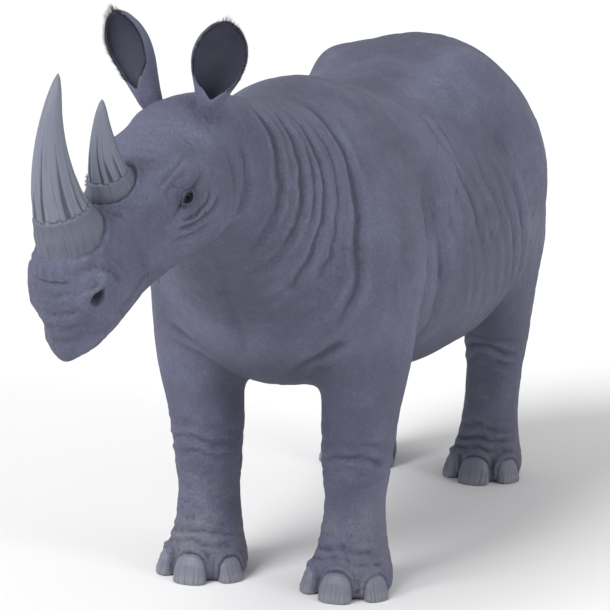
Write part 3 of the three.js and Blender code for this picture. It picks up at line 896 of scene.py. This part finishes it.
for side in (1, -1):
    root = ear_root(side)
    own = moved(root.inverted(), points)
    facing = normals @ np.array(root.to_3x3())
    inwards = -(own[:, 0] * facing[:, 0] + (own[:, 1] - CUP_AXIS) * facing[:, 1])
    inwards /= np.hypot(own[:, 0], own[:, 1] - CUP_AXIS) + 1e-6
    near_axis = step(np.hypot(own[:, 0], own[:, 1]), 0.11, 0.09) * step(own[:, 2], 0.01, 0.04)
    below_tip = step(own[:, 2] / EAR_LENGTH, 1.03, 0.97)
    in_cups = np.maximum(in_cups, step(inwards, 0.15, 0.5) * near_axis * below_tip)
    pit = on_side(side, NOSTRIL[0] - 0.030, NOSTRIL[1] - 0.010, NOSTRIL[2])
    in_pits = np.maximum(in_pits, bell(far_from(points, pit), 0.022))
from_mouth, _ = nearest_on(points, laid_on_skin(mouth))
in_pits = np.maximum(in_pits, 0.7 * bell(from_mouth, 0.008))
# Painted shade under the belly, along the back, in the ear cups, nostrils and mouth's line, with a darker
# ring round each eye.
dusk = np.clip(0.55 * belly + 0.35 * back + 0.75 * round_eyes + 0.85 * in_cups + 1.2 * in_pits, 0, 1)
mark(hide, "dusk", ease(dusk[:, None], edges, 4, 0.5)[:, 0])

# The net is thinned where the skin is plain: first on the body, then, less, on the head.
BODY_TRIANGLES, HEAD_TRIANGLES = 100_000, 95_000


def in_head_or_ears(points):
    return (in_head(points)[:, 1] < -0.03) | (off_ears(points) < 0.5)


def thin(thing, chosen, triangles):
    """Thins a piece's net, where its points are chosen, down to a number of triangles in all, and clears
    away the loose flaps that the thinning leaves."""
    group = thing.vertex_groups.new(name="chosen")
    group.add(np.nonzero(chosen)[0].tolist(), 1, "REPLACE")
    made = thing.modifiers.new("thinner net", "DECIMATE")
    made.ratio = min(1, triangles / sum(len(face.vertices) - 2 for face in thing.data.polygons))
    made.vertex_group = group.name
    settle(thing)
    thing.vertex_groups.clear()
    with opened(thing.data) as net:
        flaps = [face for face in net.faces if any(edge.is_boundary for edge in face.edges)]
        bmesh.ops.delete(net, geom=flaps, context="FACES")


of_head = in_head_or_ears(points)
kept_for_now = sum(len(face.vertices) - 2 for face in hide.data.polygons if of_head[face.vertices[0]])
thin(hide, ~of_head, kept_for_now + BODY_TRIANGLES)
thin(hide, in_head_or_ears(points_of(hide.data)), HEAD_TRIANGLES + BODY_TRIANGLES)

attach(hide, "root")
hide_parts(*nodes_of("hide"), *nodes_of("ear_skin"))


def add_node(tree, kind, inputs=None, **looks):
    """A shader node with its settings and inputs. An input given as a socket is linked to it."""
    made = tree.nodes.new(kind)
    for name, value in looks.items():
        setattr(made, name, value)
    for socket, value in (inputs or {}).items():
        if isinstance(value, bpy.types.NodeSocket):
            tree.links.new(value, made.inputs[socket])
        else:
            made.inputs[socket].default_value = value
    return made


def new_look(name):
    """A material with its node tree and its Principled shader."""
    look = bpy.data.materials.new(name)
    look.use_nodes = True
    return look, look.node_tree, look.node_tree.nodes["Principled BSDF"]


def between(tree, value, low, high, at_low=0.0, at_high=1.0):
    """A smooth step of a value from low to high, as a socket."""
    made = add_node(tree, "ShaderNodeMapRange", {0: value, 1: low, 2: high, 3: at_low, 4: at_high})
    made.interpolation_type = "SMOOTHSTEP"
    return made.outputs[0]


def blend(tree, factor, one, two, way="MIX"):
    made = add_node(tree, "ShaderNodeMix", data_type="RGBA", blend_type=way)
    for socket, value in ((0, factor), (6, one), (7, two)):
        if isinstance(value, bpy.types.NodeSocket):
            tree.links.new(value, made.inputs[socket])
        else:
            made.inputs[socket].default_value = value
    return made.outputs[2]


def reckon(tree, way, one, two):
    return add_node(tree, "ShaderNodeMath", {0: one, 1: two}, operation=way).outputs[0]


def times(tree, one, two):
    return reckon(tree, "MULTIPLY", one, two)


def marked(tree, name, output="Fac"):
    """The values of a mark that lies on the piece's points."""
    return add_node(tree, "ShaderNodeAttribute", attribute_name=name).outputs[output]


def layered(tree, *layers):
    """Several reliefs laid over each other, each with its own height."""
    total, share = layers[0]
    total = times(tree, total, share)
    for relief, share in layers[1:]:
        total = reckon(tree, "ADD", total, times(tree, relief, share))
    return total


def finish(tree, shader, colour, roughness, relief=None, strength=0.0, depth=0.0):
    """Gives a material its colour and roughness, and presses a relief into it."""
    tree.links.new(colour, shader.inputs["Base Color"])
    tree.links.new(roughness, shader.inputs["Roughness"])
    if relief:
        pressed = {"Strength": strength, "Distance": depth, "Height": relief}
        bump = add_node(tree, "ShaderNodeBump", pressed)
        tree.links.new(bump.outputs["Normal"], shader.inputs["Normal"])


def tinted(tree, colour, *tints):
    """Lays tints over a colour. Each grows to its own share as a value goes from low to high."""
    for value, low, high, share, tint in tints:
        colour = blend(tree, between(tree, value, low, high, 0.0, share), colour, tint)
    return colour


def noise(tree, place, scale, detail=2.0, rough=0.5, output="Fac"):
    inputs = {"Vector": place, "Scale": scale, "Detail": detail, "Roughness": rough}
    return add_node(tree, "ShaderNodeTexNoise", inputs).outputs[output]


def cracks(tree, place, scale, filled):
    """A cracked net: 0 in its cracks and 1 on its plates."""
    inputs = {"Vector": place, "Scale": scale}
    net = add_node(tree, "ShaderNodeTexVoronoi", inputs, feature="DISTANCE_TO_EDGE")
    return between(tree, net.outputs["Distance"], 0.0, filled)


# Slate-grey hide: cracked into small plates, with painted shade in its cracks and folds, under the belly,
# along the back, in the cups of the ears, the nostrils and the mouth, darker rings round the eyes, paler on
# its ridges, and a little dusty low on the legs.
SLATE = (0.130, 0.135, 0.216, 1)
SLATE_PALE = (0.177, 0.184, 0.272, 1)
SLATE_DEEP = (0.086, 0.089, 0.146, 1)
SLATE_SHADE_AND_EYE_RINGS = (0.048, 0.050, 0.078, 1)
DUST = (0.235, 0.218, 0.205, 1)
look, tree, shader = new_look("slate hide")
place = add_node(tree, "ShaderNodeTexCoord").outputs["Object"]
stray = noise(tree, place, 22, 4, 0.7, "Color")
stray_inputs = {0: stray, 1: (0.040, 0.040, 0.040), 2: place}
bent = add_node(tree, "ShaderNodeVectorMath", stray_inputs, operation="MULTIPLY_ADD").outputs[0]
plate_height = cracks(tree, bent, 62, 0.14)
pebble_height = cracks(tree, bent, 150, 0.22)
hollow = marked(tree, "hollow")
painted_shade_and_eye_rings_mark = marked(tree, "dusk")
thin_skin = marked(tree, "thin_skin")
clouds = noise(tree, place, 2.6, 6, 0.6)
patches = noise(tree, place, 11, 4, 0.6)
height = add_node(tree, "ShaderNodeSeparateXYZ", {0: place}).outputs["Z"]
colour = blend(tree, between(tree, clouds, 0.38, 0.66), SLATE_DEEP, SLATE)
colour = tinted(tree, colour, (patches, 0.45, 0.75, 0.45, SLATE_PALE))
dusty = times(tree, between(tree, height, 0.45, 0.05), between(tree, patches, 0.35, 0.65, 0.0, 0.35))
colour = blend(tree, dusty, colour, DUST)
# Painted shade in the folds, read from the hollow mark; the ridges are made paler.
colour = tinted(tree, colour, (hollow, 0.0, 0.9, 0.75, SLATE_SHADE_AND_EYE_RINGS), (hollow, -0.1, -0.9, 0.30, SLATE_PALE))
# Painted shade in the cracks between the plates and between the pebbles.
shade_in_cracks = times(tree, between(tree, plate_height, 1.0, 0.0, 0.0, 0.34), patches)
colour = blend(tree, shade_in_cracks, colour, SLATE_SHADE_AND_EYE_RINGS)
colour = tinted(tree, colour, (pebble_height, 1.0, 0.0, 0.10, SLATE_SHADE_AND_EYE_RINGS))
# Painted shade under the belly, along the back, in the ear cups, nostrils and mouth, and darker rings round
# the eyes.
colour = blend(tree, painted_shade_and_eye_rings_mark, colour, SLATE_SHADE_AND_EYE_RINGS)
pores = noise(tree, place, 420, 2)
relief = layered(tree, (plate_height, 0.60), (pebble_height, 0.30), (pores, 0.22))
relief = times(tree, relief, between(tree, thin_skin, 0.0, 1.0, 1.0, 0.3))
finish(tree, shader, colour, between(tree, patches, 0.3, 0.7, 0.58, 0.80), relief, 0.75, 0.0022)
hide.data.materials.clear()
hide.data.materials.append(look)

# ---- Horns ---------------------------------------------------------------------------------------
# Two horns stand on the nose. Each is solid packed horn fibre with no bone core: smooth and dark-streaked
# above, split lengthways lower down, and frayed into a rough collar where it grows from the skin.
HORN_ROOT = -0.10  # where the horn starts below its seat, as a share of the length
HORN_RINGS = [  # share of the length, width, reach ahead, reach behind, how far it has swept backwards
    (HORN_ROOT, 1.00, 0.97, 0.98, 0),
    (0.04, 0.96, 0.96, 0.97, 0),
    (0.12, 0.87, 0.86, 0.88, -0.02),
    (0.30, 0.72, 0.70, 0.72, -0.045),
    (0.52, 0.54, 0.53, 0.55, -0.03),
    (0.74, 0.36, 0.35, 0.37, 0.04),
    (0.92, 0.18, 0.17, 0.18, 0.145),
    (1.00, 0.05, 0.05, 0.05, 0.2),
]
SPLITS = 9  # the deep splits that run up each horn
COLLAR_TOP = 0.165  # as a share of the length
FIBRE_RISE = 0.25  # metres up a horn that its pattern takes for one radius


def splits_at(round, share, seed):
    """How deep the splits are: each is a long wedge, widest where it leaves the collar."""
    rng = np.random.default_rng(seed)
    depth = np.zeros(len(share))
    for middle in np.arange(SPLITS) / SPLITS + rng.uniform(-0.03, 0.03, SPLITS):
        width, top = rng.uniform(0.006, 0.017), rng.uniform(0.40, 0.85)
        open_part = step(share, top, COLLAR_TOP) * step(share, COLLAR_TOP - 0.01, COLLAR_TOP + 0.04)
        away = np.abs((round - middle + 0.010 * np.sin(7 * share + seed) + 0.5) % 1 - 0.5)
        depth = np.maximum(depth, open_part**0.5 * bell(away, 0.002 + width * open_part))
    return depth


def fibre_place(turn, share, length):
    """Where a point is in the horn's fibre: round it, and up it."""
    return np.stack([np.cos(turn), np.sin(turn), share * length / FIBRE_RISE], 1)


def horn_surface(node, seed):
    """The outer face of a horn, for sheet()."""
    length, half, deep, sweep = HORN_SIZES[node]

    def shape(round, up):
        share = HORN_ROOT + (1 - HORN_ROOT) * up
        width, ahead, behind, swept = ring_at(HORN_RINGS, share).T
        turn = math.tau * round
        dome = np.sqrt(np.clip((1 - share) / 0.03, 0, 1))
        around = fibre_place(turn, share, length)
        ragged = COLLAR_TOP + 0.016 * grain(around, (0.22, 0.22, 9), seed)
        ragged += 0.006 * grain(around, (0.05, 0.05, 9), seed + 5)
        collar = step(share, ragged + 0.010, ragged - 0.006)
        rough = step(share, 0.85, 0.10)
        fibre = 0.0016 * rough * grain(around, (0.085, 0.085, 1.6), seed + 1)
        fibre += 0.0009 * rough * grain(around, (0.030, 0.030, 0.9), seed + 2)
        frayed = 0.0016 * grain(around, (0.16, 0.16, 0.30), seed + 4)
        frayed += 0.0012 * grain(around, (0.045, 0.045, 0.18), seed + 6)
        growth = np.sin(share * length / 0.011 + 1.5 * grain(around, (0.7, 0.7, 1), seed + 3))
        rings = 0.0010 * step(share, 0.45, 0.15) * growth
        thick = fibre + rings - 0.0050 * splits_at(round, share, seed) + collar * (0.0036 + frayed)
        thick -= 0.0022 * bell(share - ragged - 0.012, 0.007)
        side = (width * half + thick) * dome * np.cos(turn)
        reach = np.where(np.sin(turn) > 0, behind, ahead) * deep
        back = (reach + thick) * dome * np.sin(turn) + swept * sweep * length
        return np.stack([side, back, share * length], 1)

    return shape


for seed, node in zip((101, 111), HORN_SIZES):
    seat = horn_seat(node)
    shape = sheet(180, 150, horn_surface(node, seed))
    bmesh.ops.holes_fill(shape, edges=open_edges(shape), sides=0)
    bmesh.ops.recalc_face_normals(shape, faces=shape.faces)
    own = corners_of(shape)
    length, half, deep, sweep = HORN_SIZES[node]
    share = own[:, 2] / length
    width, ahead, behind, swept = ring_at(HORN_RINGS, share).T
    turn = np.arctan2(own[:, 1] - swept * sweep * length, own[:, 0])
    shape.transform(seat)
    horn = piece_from(node.replace("horn_", "") + "_horn", shape)
    mark(horn, "fibre", fibre_place(turn, share, length))
    own_points = points_of(horn.data)
    eased = ease(own_points, edges_of(horn.data), 6, 0.5)
    mark(horn, "hollow", np.clip(((eased - own_points) * normals_of(horn.data)).sum(1) / 0.0009, -1, 1))
    mark(horn, "split", splits_at(turn / math.tau, share, seed))
    mark(horn, "share", share)
    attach(horn, "root")
    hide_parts(node)


def lengthwise_fibre():
    """Streaks, threads and fine lines that run along packed horn fibre, as one node group."""
    group = bpy.data.node_groups.new("lengthwise fibre", "ShaderNodeTree")
    group.interface.new_socket("Place", in_out="INPUT", socket_type="NodeSocketVector")
    group.interface.new_socket("Stretch", in_out="INPUT", socket_type="NodeSocketVector")
    group.interface.new_socket("Streaks Across", in_out="INPUT", socket_type="NodeSocketFloat")
    for name in ("Streaks", "Threads", "Height"):
        group.interface.new_socket(name, in_out="OUTPUT", socket_type="NodeSocketFloat")
    given = add_node(group, "NodeGroupInput").outputs
    stretched = {"Vector": given["Place"], "Scale": given["Stretch"]}
    drawn = add_node(group, "ShaderNodeMapping", stretched).outputs[0]
    streaks = noise(group, drawn, given["Streaks Across"], 5, 0.65)
    threads = noise(group, drawn, times(group, given["Streaks Across"], 4.6), 3, 0.6)
    lines = noise(group, drawn, times(group, given["Streaks Across"], 13), 2)
    height = layered(group, (threads, 0.6), (lines, 0.4))
    add_node(group, "NodeGroupOutput", {"Streaks": streaks, "Threads": threads, "Height": height})
    return group


FIBRE = lengthwise_fibre()

HORN_GREY = (0.196, 0.211, 0.274, 1)
HORN_DARK = (0.066, 0.070, 0.098, 1)
HORN_COLLAR = (0.126, 0.137, 0.184, 1)
HORN_TIP = (0.168, 0.179, 0.228, 1)
look, tree, shader = new_look("horn fibre")
share_mark = marked(tree, "share")
settings = {"Place": marked(tree, "fibre", "Vector"), "Stretch": (1, 1, 0.06), "Streaks Across": 9}
fibre = add_node(tree, "ShaderNodeGroup", settings, node_tree=FIBRE).outputs
colour = blend(tree, between(tree, fibre["Streaks"], 0.26, 0.48), HORN_DARK, HORN_GREY)
# The last two tints are painted shade, in the splits and in the hollows of the fibre.
colour = tinted(
    tree, colour,
    (fibre["Threads"], 0.45, 0.75, 0.35, HORN_DARK),
    (share_mark, 0.62, 0.98, 0.7, HORN_TIP),
    (share_mark, 0.19, 0.15, 0.92, HORN_COLLAR),
    (marked(tree, "split"), 0.12, 0.60, 0.92, HORN_DARK),
    (marked(tree, "hollow"), 0.1, 1.0, 0.75, HORN_DARK),
)
polish = between(tree, share_mark, 0.15, 0.85, 0.72, 0.30)
finish(tree, shader, colour, polish, fibre["Height"], 0.6, 0.0016)
for name in ("front_horn", "rear_horn"):
    bpy.data.objects[name].data.materials.append(look)

# ---- Nails ---------------------------------------------------------------------------------------
# Three broad nails of the same stuff as hoof cap the toes of each foot. They are grooved lengthways, grow out
# from under the cuticle and are worn and chipped along the lower edge.


def power(value, exponent):
    return np.sign(value) * np.abs(value) ** exponent


NAIL_GROOVES = 6
NAIL_ABOVE_GROUND = 0.0025


def nail_shape(axes, half, seed):
    """A closed shield, flat below. With it go each point's place on it and the grooves there."""
    rng = np.random.default_rng(seed)
    net = bmesh.new()
    bmesh.ops.create_uvsphere(net, u_segments=112, v_segments=36, radius=1)
    ball = corners_of(net)
    level = np.sqrt(np.clip(1 - ball[:, 2] ** 2, 0, 1)) + 1e-9
    waist = level ** (2 / 2.6)
    across = power(ball[:, 0] / level, 2 / 2.3) * waist
    ahead = power(ball[:, 1] / level, 2 / 2.3) * waist
    up = power(ball[:, 2], 2 / 2.6)
    grooves = np.zeros(len(ball))
    for middle in np.linspace(-0.82, 0.82, NAIL_GROOVES) + rng.uniform(-0.09, 0.09, NAIL_GROOVES):
        bent = middle * (1 + 0.10 * up) + 0.02 * np.sin(4 * up + seed)
        strength = rng.uniform(0.5, 1.0) * step(up, rng.uniform(0.5, 1.1), 0.0)
        grooves = np.maximum(grooves, strength * bell(across - bent, 0.026 + 0.020 * step(up, 0.6, -0.4)))
    fine = grain(np.stack([across, 0 * up, up * 0.1], 1), (0.05, 1, 1), seed + 1)
    growth = np.sin(up * 17 + 1.5 * across**2) * step(np.abs(up), 1.0, 0.8)
    outwards = step(ahead, 0, -0.25)
    rise = 0.0004 * fine + 0.0006 * growth - 0.0026 * grooves + 0.0030 * step(up, 0.2, -0.4)
    wider = 1 + 0.07 * step(up, 0.7, -0.4)
    own = np.stack([across * half[0] * wider, ahead * half[1] - rise * outwards, up * half[2]], 1)
    chips = 0.0018 * grain(np.stack([across, 0 * up, 0 * up], 1), (0.13, 1, 1), seed + 2)
    spots = moved(axes, own)
    spots[:, 2] = np.maximum(spots[:, 2], NAIL_ABOVE_GROUND + np.abs(chips))
    place_corners(net, spots)
    return net, np.stack([across, ahead, up], 1), grooves


look, tree, shader = new_look("nail")
NAIL_GREY = (0.180, 0.186, 0.240, 1)
NAIL_DARK = (0.080, 0.083, 0.111, 1)
NAIL_WORN = (0.238, 0.236, 0.262, 1)
on_nail = marked(tree, "fibre", "Vector")
settings = {"Place": on_nail, "Stretch": (1, 0.3, 0.05), "Streaks Across": 7}
fibre = add_node(tree, "ShaderNodeGroup", settings, node_tree=FIBRE).outputs
up_nail = add_node(tree, "ShaderNodeSeparateXYZ", {0: on_nail}).outputs["Z"]
colour = blend(tree, between(tree, fibre["Streaks"], 0.30, 0.60, 0.55, 1.0), NAIL_DARK, NAIL_GREY)
# The last tint is painted shade in the grooves, which the hollow mark carries.
colour = tinted(
    tree, colour,
    (fibre["Threads"], 0.48, 0.75, 0.30, NAIL_DARK),
    (up_nail, 0.10, -0.35, 0.55, NAIL_WORN),
    (marked(tree, "hollow"), 0.2, 1.0, 0.8, NAIL_DARK),
)
polish = between(tree, fibre["Threads"], 0.3, 0.7, 0.40, 0.62)
finish(tree, shader, colour, polish, fibre["Height"], 0.5, 0.001)
for seed, node in enumerate(nodes_of("nail")):
    axes, half = nail_plan(node)
    net, fibre, grooves = nail_shape(axes, half, 201 + seed)
    nail = piece_from(node.replace("nail_", "") + "_nail", net)
    mark(nail, "fibre", fibre)
    mark(nail, "hollow", grooves)
    nail.data.materials.append(look)
    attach(nail, "root")
    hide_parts(node)

# ---- Eyes ----------------------------------------------------------------------------------------
# Small, nearly black eyes: a dark brown-grey iris behind a clear wet cornea that bulges a little in front.
look, tree, shader = new_look("wet eye")
PUPIL_BLACK = (0.002, 0.002, 0.002, 1)
IRIS_DARK = (0.007, 0.006, 0.005, 1)
from_axis = marked(tree, "from_axis")
place = add_node(tree, "ShaderNodeTexCoord").outputs["Object"]
flecks = noise(tree, place, 900, 3)
iris = blend(tree, between(tree, flecks, 0.35, 0.7), PUPIL_BLACK, IRIS_DARK)
in_iris = times(tree, between(tree, from_axis, 0.36, 0.42), between(tree, from_axis, 0.80, 0.70))
colour = blend(tree, in_iris, PUPIL_BLACK, iris)
finish(tree, shader, colour, between(tree, flecks, 0.2, 0.8, 0.03, 0.06))
shader.inputs["Specular IOR Level"].default_value = 0.12
for side, hand in HANDS.items():
    outward = opening_of[side][0]
    ball = bmesh.new()
    turned = outward.to_track_quat("Z", "Y").to_matrix().to_4x4()
    bmesh.ops.create_uvsphere(ball, u_segments=64, v_segments=48, radius=EYE_RADIUS)
    away = np.array([corner.co.normalized().angle(Vector((0, 0, 1))) for corner in ball.verts])
    for corner, angle in zip(ball.verts, away):
        corner.co *= 1 + 0.05 * math.exp(-((angle / 0.45) ** 2))
    ball.transform(Matrix.Translation(EYES[side]) @ turned)
    eye = piece_from(f"{hand}_eye", ball)
    mark(eye, "from_axis", away)
    eye.data.materials.append(look)
    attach(eye, "root")
    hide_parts(f"eye_{hand}")

# ---- Hair ----------------------------------------------------------------------------------------
# The hide is bare but for a dark fringe round the ears, lashes, and stiff bristles on the tail. Each hair is
# a thin bent spike, and all the hairs of a place are one mesh.
look, tree, shader = new_look("dark hair")
HAIR_BLACK = (0.012, 0.012, 0.016, 1)
HAIR_GREY = (0.035, 0.035, 0.044, 1)
place = add_node(tree, "ShaderNodeTexCoord").outputs["Object"]
shade = noise(tree, place, 160, 3)
colour = blend(tree, between(tree, shade, 0.35, 0.65), HAIR_BLACK, HAIR_GREY)
finish(tree, shader, colour, between(tree, shade, 0.3, 0.7, 0.42, 0.60))
HAIR_STEPS = 5
PATCH = 0.003  # the size of each hair's patch on the colour map


def hairs(name, roots, ways, bends, lengths, widths, spots):
    """One mesh of many hairs. Each starts at its root, leaves along its way and turns towards its bend; its
    patch of the colour map is at its spot, the root's place on a flattened skin."""
    one = bmesh.new()
    bmesh.ops.create_grid(one, x_segments=3, y_segments=HAIR_STEPS, size=0.5)
    flat = corners_of(one)[:, :2] + 0.5
    hair = piece_from(name, one)
    layer = hair.data.uv_layers.new(name="OFBake")
    corners = np.empty(len(hair.data.loops), np.int32)
    hair.data.loops.foreach_get("vertex_index", corners)
    copies = hair.modifiers.new("copies", "ARRAY")
    copies.use_relative_offset = False
    copies.count = len(roots)
    settle(hair)
    turn = math.tau * flat[:, 0]
    along = flat[:, 1]
    thin_out = widths[:, None] * (1 - 0.88 * along[None, :] ** 1.5)
    run = lengths[:, None] * along[None, :]
    middle = roots[:, None, :] + ways[:, None, :] * run[..., None]
    middle += bends[:, None, :] * (run * along[None, :])[..., None]
    tip_way = ways + bends
    side = unit(np.cross(tip_way, np.array((0.31, 0.52, 0.79))))
    other = unit(np.cross(tip_way, side))
    ring = np.cos(turn)[None, :, None] * side[:, None, :] + np.sin(turn)[None, :, None] * other[:, None, :]
    set_points(hair.data, (middle + ring * thin_out[..., None]).reshape(-1, 3))
    patch = spots[:, None, :] + PATCH * (flat[corners][None, :, :] - 0.5)
    hair.data.uv_layers["OFBake"].data.foreach_set("uv", patch.reshape(-1).astype(np.float32))
    with opened(hair.data) as net:
        bmesh.ops.remove_doubles(net, verts=net.verts, dist=1e-6)
        bmesh.ops.holes_fill(net, edges=open_edges(net), sides=0)
    hair.data.shade_smooth()
    hair.data.materials.append(look)
    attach(hair, "root")
    return hair


# The fringe grows from the whole upper rim of each ear, longest at its tip.
FRINGE_HAIRS = 800
climb = np.linspace(0.30, 1.0, 80)
one_edge, other_edge = ear_sheet(np.full(80, 0.0075), climb), ear_sheet(np.full(80, 0.9925), climb)
ear_rim = np.concatenate([one_edge, other_edge[::-1]])
rim_run = np.concatenate([[0], np.cumsum(lengths_of(np.diff(ear_rim, axis=0)))])
for side, hand in HANDS.items():
    rng = np.random.default_rng(300 + side)
    share = rng.uniform(0, 1, FRINGE_HAIRS)
    across_rim = rng.uniform(-0.5, 0.5, FRINGE_HAIRS)
    rim = np.stack([np.interp(share * rim_run[-1], rim_run, ear_rim[:, k]) for k in range(3)], 1)
    heart = np.stack([0 * share, 0 * share - 0.002, np.minimum(rim[:, 2], 0.62 * EAR_LENGTH)], 1)
    rim = rim + across_rim[:, None] * np.array((0, 0.004, 0))
    out = unit(rim - heart)
    rim -= out * 0.004
    sweep_up = np.array((0, -0.15, 0.9)) + rng.normal(0, 0.22, (FRINGE_HAIRS, 3))
    ways = unit(out + 0.5 * sweep_up + rng.normal(0, 0.18, (FRINGE_HAIRS, 3)))
    bends = 0.45 * sweep_up
    lengths = rng.uniform(0.005, 0.014, FRINGE_HAIRS) + 0.007 * bell(share - 0.5, 0.10)
    turn = np.array(ear_root(side).to_3x3())
    left_edge = 0.05 if side == 1 else 0.55
    spots = np.stack([left_edge + 0.4 * share, 0.75 + 0.3 * across_rim], 1)
    hairs(f"{hand}_ear_fringe", moved(ear_root(side), rim), ways @ turn.T, bends @ turn.T, lengths,
          rng.uniform(0.00035, 0.00060, FRINGE_HAIRS), spots)

# Lashes stand out from the edge of each upper lid and curl upwards.
LASHES = 60
for side, hand in HANDS.items():
    rng = np.random.default_rng(320 + side)
    outward, forward, upward = (np.array(way) for way in opening_of[side])
    long = rng.uniform(-44, 44, LASHES)
    lid_edge = OPEN_ABOVE * (1 - np.abs(long / OPEN_LONG) ** ALMOND) ** (1 / ALMOND)
    tall = lid_edge + rng.uniform(1, 4, LASHES)
    long, tall = np.radians(long), np.radians(tall)
    aim = unit(outward + np.tan(long)[:, None] * forward + np.tan(tall)[:, None] * upward)
    roots = np.array(EYES[side]) + aim * (EYE_RADIUS + 0.0045)
    ways = aim + 0.35 * upward + 0.25 * np.sin(long)[:, None] * forward
    ways = unit(ways + rng.normal(0, 0.08, (LASHES, 3)))
    bends = 0.5 * upward + 0.12 * rng.normal(0, 1, (LASHES, 3)) + np.array((0, 0, -0.25))
    spots = np.stack([(0.05 if side == 1 else 0.55) + 0.4 * (long / 1.6 + 0.5), 0.40 + 0.08 * tall], 1)
    hairs(f"{hand}_lashes", roots, ways, bends, rng.uniform(0.007, 0.012, LASHES),
          rng.uniform(0.00035, 0.00055, LASHES), spots)

# The tail ends in a flat brush of bristles that grow from its two edges and its end.
BRISTLES = 1100
TAIL_LINE = [
    (0.010, 1.438, 0.900),
    (0.012, 1.439, 0.820),
    (0.014, 1.435, 0.735),
    (0.016, 1.429, 0.650),
    (0.019, 1.420, 0.560),
]
TAIL_END = 0.738  # the height of its fleshy end
BRUSH_REACH = 0.135  # how far up the tail the bristles grow
rng = np.random.default_rng(340)
line = np.array(TAIL_LINE)
root_height = TAIL_END + BRUSH_REACH * rng.uniform(0, 1, BRISTLES) ** 1.6
centre = np.stack([np.interp(root_height, line[::-1, 2], line[::-1, k]) for k in range(3)], 1)
edge = np.where(rng.random(BRISTLES) < 0.5, 0.0, np.pi) + rng.normal(0, 0.55, BRISTLES)
edge = np.where(root_height < TAIL_END + 0.014, rng.uniform(0, math.tau, BRISTLES), edge)
low_end = step(root_height, TAIL_END + 0.014, TAIL_END)
reach = 1 - 0.75 * low_end * rng.random(BRISTLES)
out = np.stack([np.cos(edge), np.sin(edge), 0 * edge], 1)
roots = centre + out * np.stack([0.018 * reach, 0.0115 * reach, 0 * reach], 1)
ends = rng.uniform(0.565, 0.66, BRISTLES)
lengths = np.clip((root_height - ends) * rng.uniform(0.55, 1.0, BRISTLES), 0.05, 0.2)
ways = np.stack([0.22 * out[:, 0], 0.18 * out[:, 1], -1 + 0 * edge], 1)
ways = unit(ways + rng.normal(0, 0.05, (BRISTLES, 3)))
bends = np.stack([-0.20 * out[:, 0], -0.12 * out[:, 1] - 0.08, 0 * edge], 1)
bends += rng.normal(0, 0.035, (BRISTLES, 3))
up_tail = (root_height - TAIL_END) / BRUSH_REACH
spots = np.stack([0.05 + 0.9 * (edge % math.tau) / math.tau, 0.05 + 0.25 * up_tail], 1)
brush = hairs("tail_brush", roots, ways, bends, lengths, rng.uniform(0.0006, 0.0010, BRISTLES), spots)
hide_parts(*nodes_of("bristle"))

# ---- Room ----------------------------------------------------------------------------------------
# A plain pale floor that runs out of sight, soft even light from one side, and the camera.
floor_shape = bmesh.new()
bmesh.ops.create_grid(floor_shape, x_segments=1, y_segments=1, size=60)
floor = piece_from("floor", floor_shape)
look, tree, shader = new_look("paper white")
shader.inputs["Base Color"].default_value = (0.86, 0.86, 0.86, 1)
shader.inputs["Roughness"].default_value = 0.9
floor.data.materials.append(look)

CAMERA_AZIMUTH, CAMERA_ELEVATION = math.radians(22), math.radians(14.5)
CAMERA_DISTANCE = 12.0
look_at = Vector((0.003, 0.014, 0.838))


def direction(azimuth, elevation):
    """The way from the animal towards a camera or lamp."""
    flat = math.cos(elevation)
    return Vector((math.sin(azimuth) * flat, -math.cos(azimuth) * flat, math.sin(elevation)))


back = direction(CAMERA_AZIMUTH, CAMERA_ELEVATION)
lens = bpy.data.cameras.new("camera")
lens.lens = 225.4
lens.sensor_width = 36
camera = bpy.data.objects.new("camera", lens)
camera.location = look_at + back * CAMERA_DISTANCE
camera.rotation_euler = (-back).to_track_quat("-Z", "Y").to_euler()
bpy.context.scene.collection.objects.link(camera)
bpy.context.scene.camera = camera


def far_lamp(name, azimuth, elevation, spread, strength):
    """Even light from a wide soft lamp a long way off. spread is how wide it looks, in degrees."""
    lamp = bpy.data.lights.new(name, "SUN")
    lamp.energy = strength
    lamp.angle = math.radians(spread)
    away = direction(math.radians(azimuth), math.radians(elevation))
    stand = bpy.data.objects.new(name, lamp)
    stand.location = look_at + away * 8
    stand.rotation_euler = (-away).to_track_quat("-Z", "Y").to_euler()
    bpy.context.scene.collection.objects.link(stand)


far_lamp("key light", -28, 48, 30, 2.3)
far_lamp("fill light", 80, 28, 22, 0.55)
sky = bpy.data.worlds.new("room")
sky.use_nodes = True
SKY_STRENGTH = 0.62
seen_straight = add_node(sky.node_tree, "ShaderNodeLightPath").outputs["Is Camera Ray"]
strengths = {0: seen_straight, 3: SKY_STRENGTH, 4: 1.0}
backdrop = add_node(sky.node_tree, "ShaderNodeMapRange", strengths).outputs[0]
background = sky.node_tree.nodes["Background"]
background.inputs["Color"].default_value = (1, 1, 1, 1)
sky.node_tree.links.new(backdrop, background.inputs["Strength"])
bpy.context.scene.world = sky
bpy.context.scene.view_settings.view_transform = "Standard"
